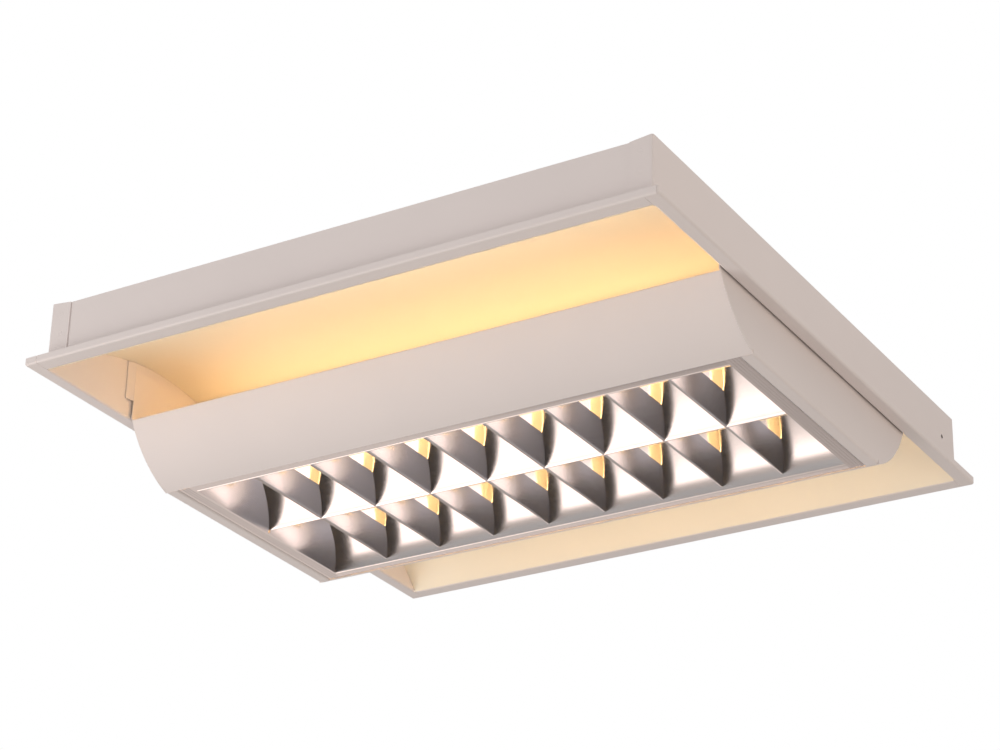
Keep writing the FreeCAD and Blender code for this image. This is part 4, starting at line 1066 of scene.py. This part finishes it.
# --- lamps
@dataclass
class Lamps:
    """The two tubes with their crimped caps.

    Attributes:
        tube_end: Outline of a tube's end in millimetres: distance from its tip, and how far inside the
            full radius.
        cap: Outline of a cap with its pressed ring, in the same way.
    """

    tube_end: Outline = ((0.0, 1.1), (0.5, 0.6), (4.0, 0.6), (6.5, 0.0))
    cap: Outline = ((0.0, 0.5), (0.15, 0.15), (0.5, 0.0), (5.0, 0.0), (5.5, 0.35), (6.5, 0.35), (7.0, 0.0),
                    (14.5, 0.0), (15.0, 0.2))

    def tube(self, side: str) -> None:
        """Glass tube, narrowed and closed at both ends.

        Args:
            side: near or far.
        """
        low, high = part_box(f"lamp_{side}_tube")
        radius, length = (high.z - low.z) / 2, high.x - low.x
        profile = [(along * MM, radius - inside * MM) for along, inside in self.tube_end]
        profile += [(length - along, wide) for along, wide in reversed(profile)]
        start = Vector((low.x, (low.y + high.y) / 2, (low.z + high.z) / 2))
        mesh = lathe("tube", profile, start, 1.0)
        stand("lit_tube_" + side, mesh, PHOSPHOR_GLASS, "lamp_" + side, f"lamp_{side}_tube")

    def caps(self, side: str) -> None:
        """Metal caps with a pressed ring, at both ends of a tube.

        Args:
            side: near or far.
        """
        low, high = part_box(f"lamp_{side}_caps")
        profile = [(along * MM, (high.z - low.z) / 2 - inside * MM) for along, inside in self.cap]
        caps = [lathe("cap", profile, Vector((face, (low.y + high.y) / 2, (low.z + high.z) / 2)), way)
                for face, way in ((low.x, 1.0), (high.x, -1.0))]
        stand("caps_" + side, joined("caps", caps), CAP_METAL, "lamp_" + side, f"lamp_{side}_caps")

    def build(self) -> None:
        """Makes both lamps."""
        for side in ("near", "far"):
            self.tube(side)
            self.caps(side)


# --- fasteners and weld marks
@dataclass
class Fasteners:
    """Cross-recessed screws and the weld marks of the frame.

    Attributes:
        screw: Outline of a screw from its tip up, in millimetres: radius, and height over the seat.
        head_height: Height of its head.
        recess: Outline of the cross recess, in the same way.
        recess_slot: Half width of its arms, as a share of their length.
        recess_waist: Reach of the recess between its arms, as a share too.
        spacer_radius: Radius of the spacers that the screws go through.
        mark: Outline of a weld mark, as the screw's.
        tab_inset: Distance of the tabs' marks from the end walls' inner edge.
        tab_heights: Heights of the marks on a tab.
        tab_stand: How far outside the roof's edge the marks on the tabs sit.
        roof_inset: Distance of the roof's marks from its edge.
        roof_marks: Number of marks along an edge of the roof.
    """

    screw: Outline = ((0.9, -10.0), (1.5, -9.4), (1.5, 0.0), (2.85, 0.0), (3.0, 0.2), (3.0, 0.8),
                      (2.58, 1.64), (1.86, 2.0))
    head_height: float = 2.0 * MM
    recess: Outline = ((1.5, 2.0), (1.2, 0.9))
    recess_slot: float = 0.32
    recess_waist: float = 0.42
    spacer_radius: float = 4.0 * MM
    mark: Outline = ((2.6, -0.05), (2.236, 0.12), (1.612, 0.12), (1.092, 0.03))
    tab_inset: float = 9.0 * MM
    tab_heights: Triple = (14.0 * MM, 31.0 * MM, 48.0 * MM)
    tab_stand: float = 1.82 * MM
    roof_inset: float = 9.0 * MM
    roof_marks: int = 9

    def head(self) -> Mesh:
        """Pan-head screw, its seat at the origin: domed head with a cross recess, and a shank.

        Returns:
            The screw's mesh.
        """
        spokes = circle(32)
        rings = [[Vector((radius * x, radius * y, z)) * MM for x, y in spokes] for radius, z in self.screw]
        for radius, z in self.recess:
            reaches = [radius if min(abs(x), abs(y)) < self.recess_slot else radius * self.recess_waist
                       for x, y in spokes]
            rings.append([Vector((reach * x, reach * y, z)) * MM for reach, (x, y) in zip(reaches, spokes)])
        return ringed("screw", rings, 28.0)

    def weld(self) -> Mesh:
        """Weld mark: a flat ring-edged dimple under the paint."""
        rings = [[Vector((radius * x, radius * y, z)) * MM for x, y in circle(20)] for radius, z in self.mark]
        return ringed("weld", rings, 40.0)

    def screws(self) -> None:
        """The tray's screws, four heads under the tray and four on the roof."""
        low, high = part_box("tray_screws")
        spacer_low, spacer_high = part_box("tray_spacers")
        xs = (spacer_low.x + self.spacer_radius, spacer_high.x - self.spacer_radius)
        ys = (spacer_low.y + self.spacer_radius, spacer_high.y - self.spacer_radius)
        seats = ((low.z + self.head_height, Facing.DOWN), (high.z - self.head_height, Facing.UP))
        sites = [(Vector((x, y, z)), facing) for x in xs for y in ys for z, facing in seats]
        stand_studs("tray_screw_heads", self.head(), sites, ZINC_PLATE, "tray_screws")

    def weld_marks(self) -> None:
        """Weld marks: three on each corner tab, and a row along two edges of the roof."""
        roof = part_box("roof_panel")[1]
        tab_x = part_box("end_wall_right")[0].x + self.tab_inset
        tab_y = roof.y + self.tab_stand
        sites = [(Vector((way * tab_x, side * tab_y, z)), Facing.FAR if side > 0 else Facing.NEAR)
                 for way in (-1, 1) for side in (-1, 1) for z in self.tab_heights]
        for k in range(self.roof_marks):
            y = (-1 + 2 * k / (self.roof_marks - 1)) * (roof.y - 4 * self.roof_inset)
            sites += [(Vector((way * (roof.x - self.roof_inset), y, roof.z)), Facing.UP) for way in (-1, 1)]
        stand_studs("frame_weld_marks", self.weld(), sites, POWDER_COAT)

    def build(self) -> None:
        """Makes the screws and the weld marks."""
        self.screws()
        self.weld_marks()


# --- dressing the model's own nodes
def dress_nodes() -> None:
    """Gives each of the model's nodes the finish of its material slot."""
    materials = {finish.slot: finish.build() for finish in FINISHES}
    slots = {row["node"]: row["material_slot"] for row in frame["record"]["subparts"]}
    for name, node in frame["nodes"].items():
        node.data.materials.clear()
        node.data.materials.append(materials[slots[name]])
        LOG.info("dressed %s in %s", name, slots[name])


def main() -> None:
    """Builds the studio and the looks, sub-assembly by sub-assembly."""
    logging.basicConfig(level=logging.INFO, format="%(name)s: %(message)s")
    Studio().build()
    dress_nodes()
    Louvre().build()
    Lamps().build()
    Fasteners().build()


if __name__ == "__main__":
    main()
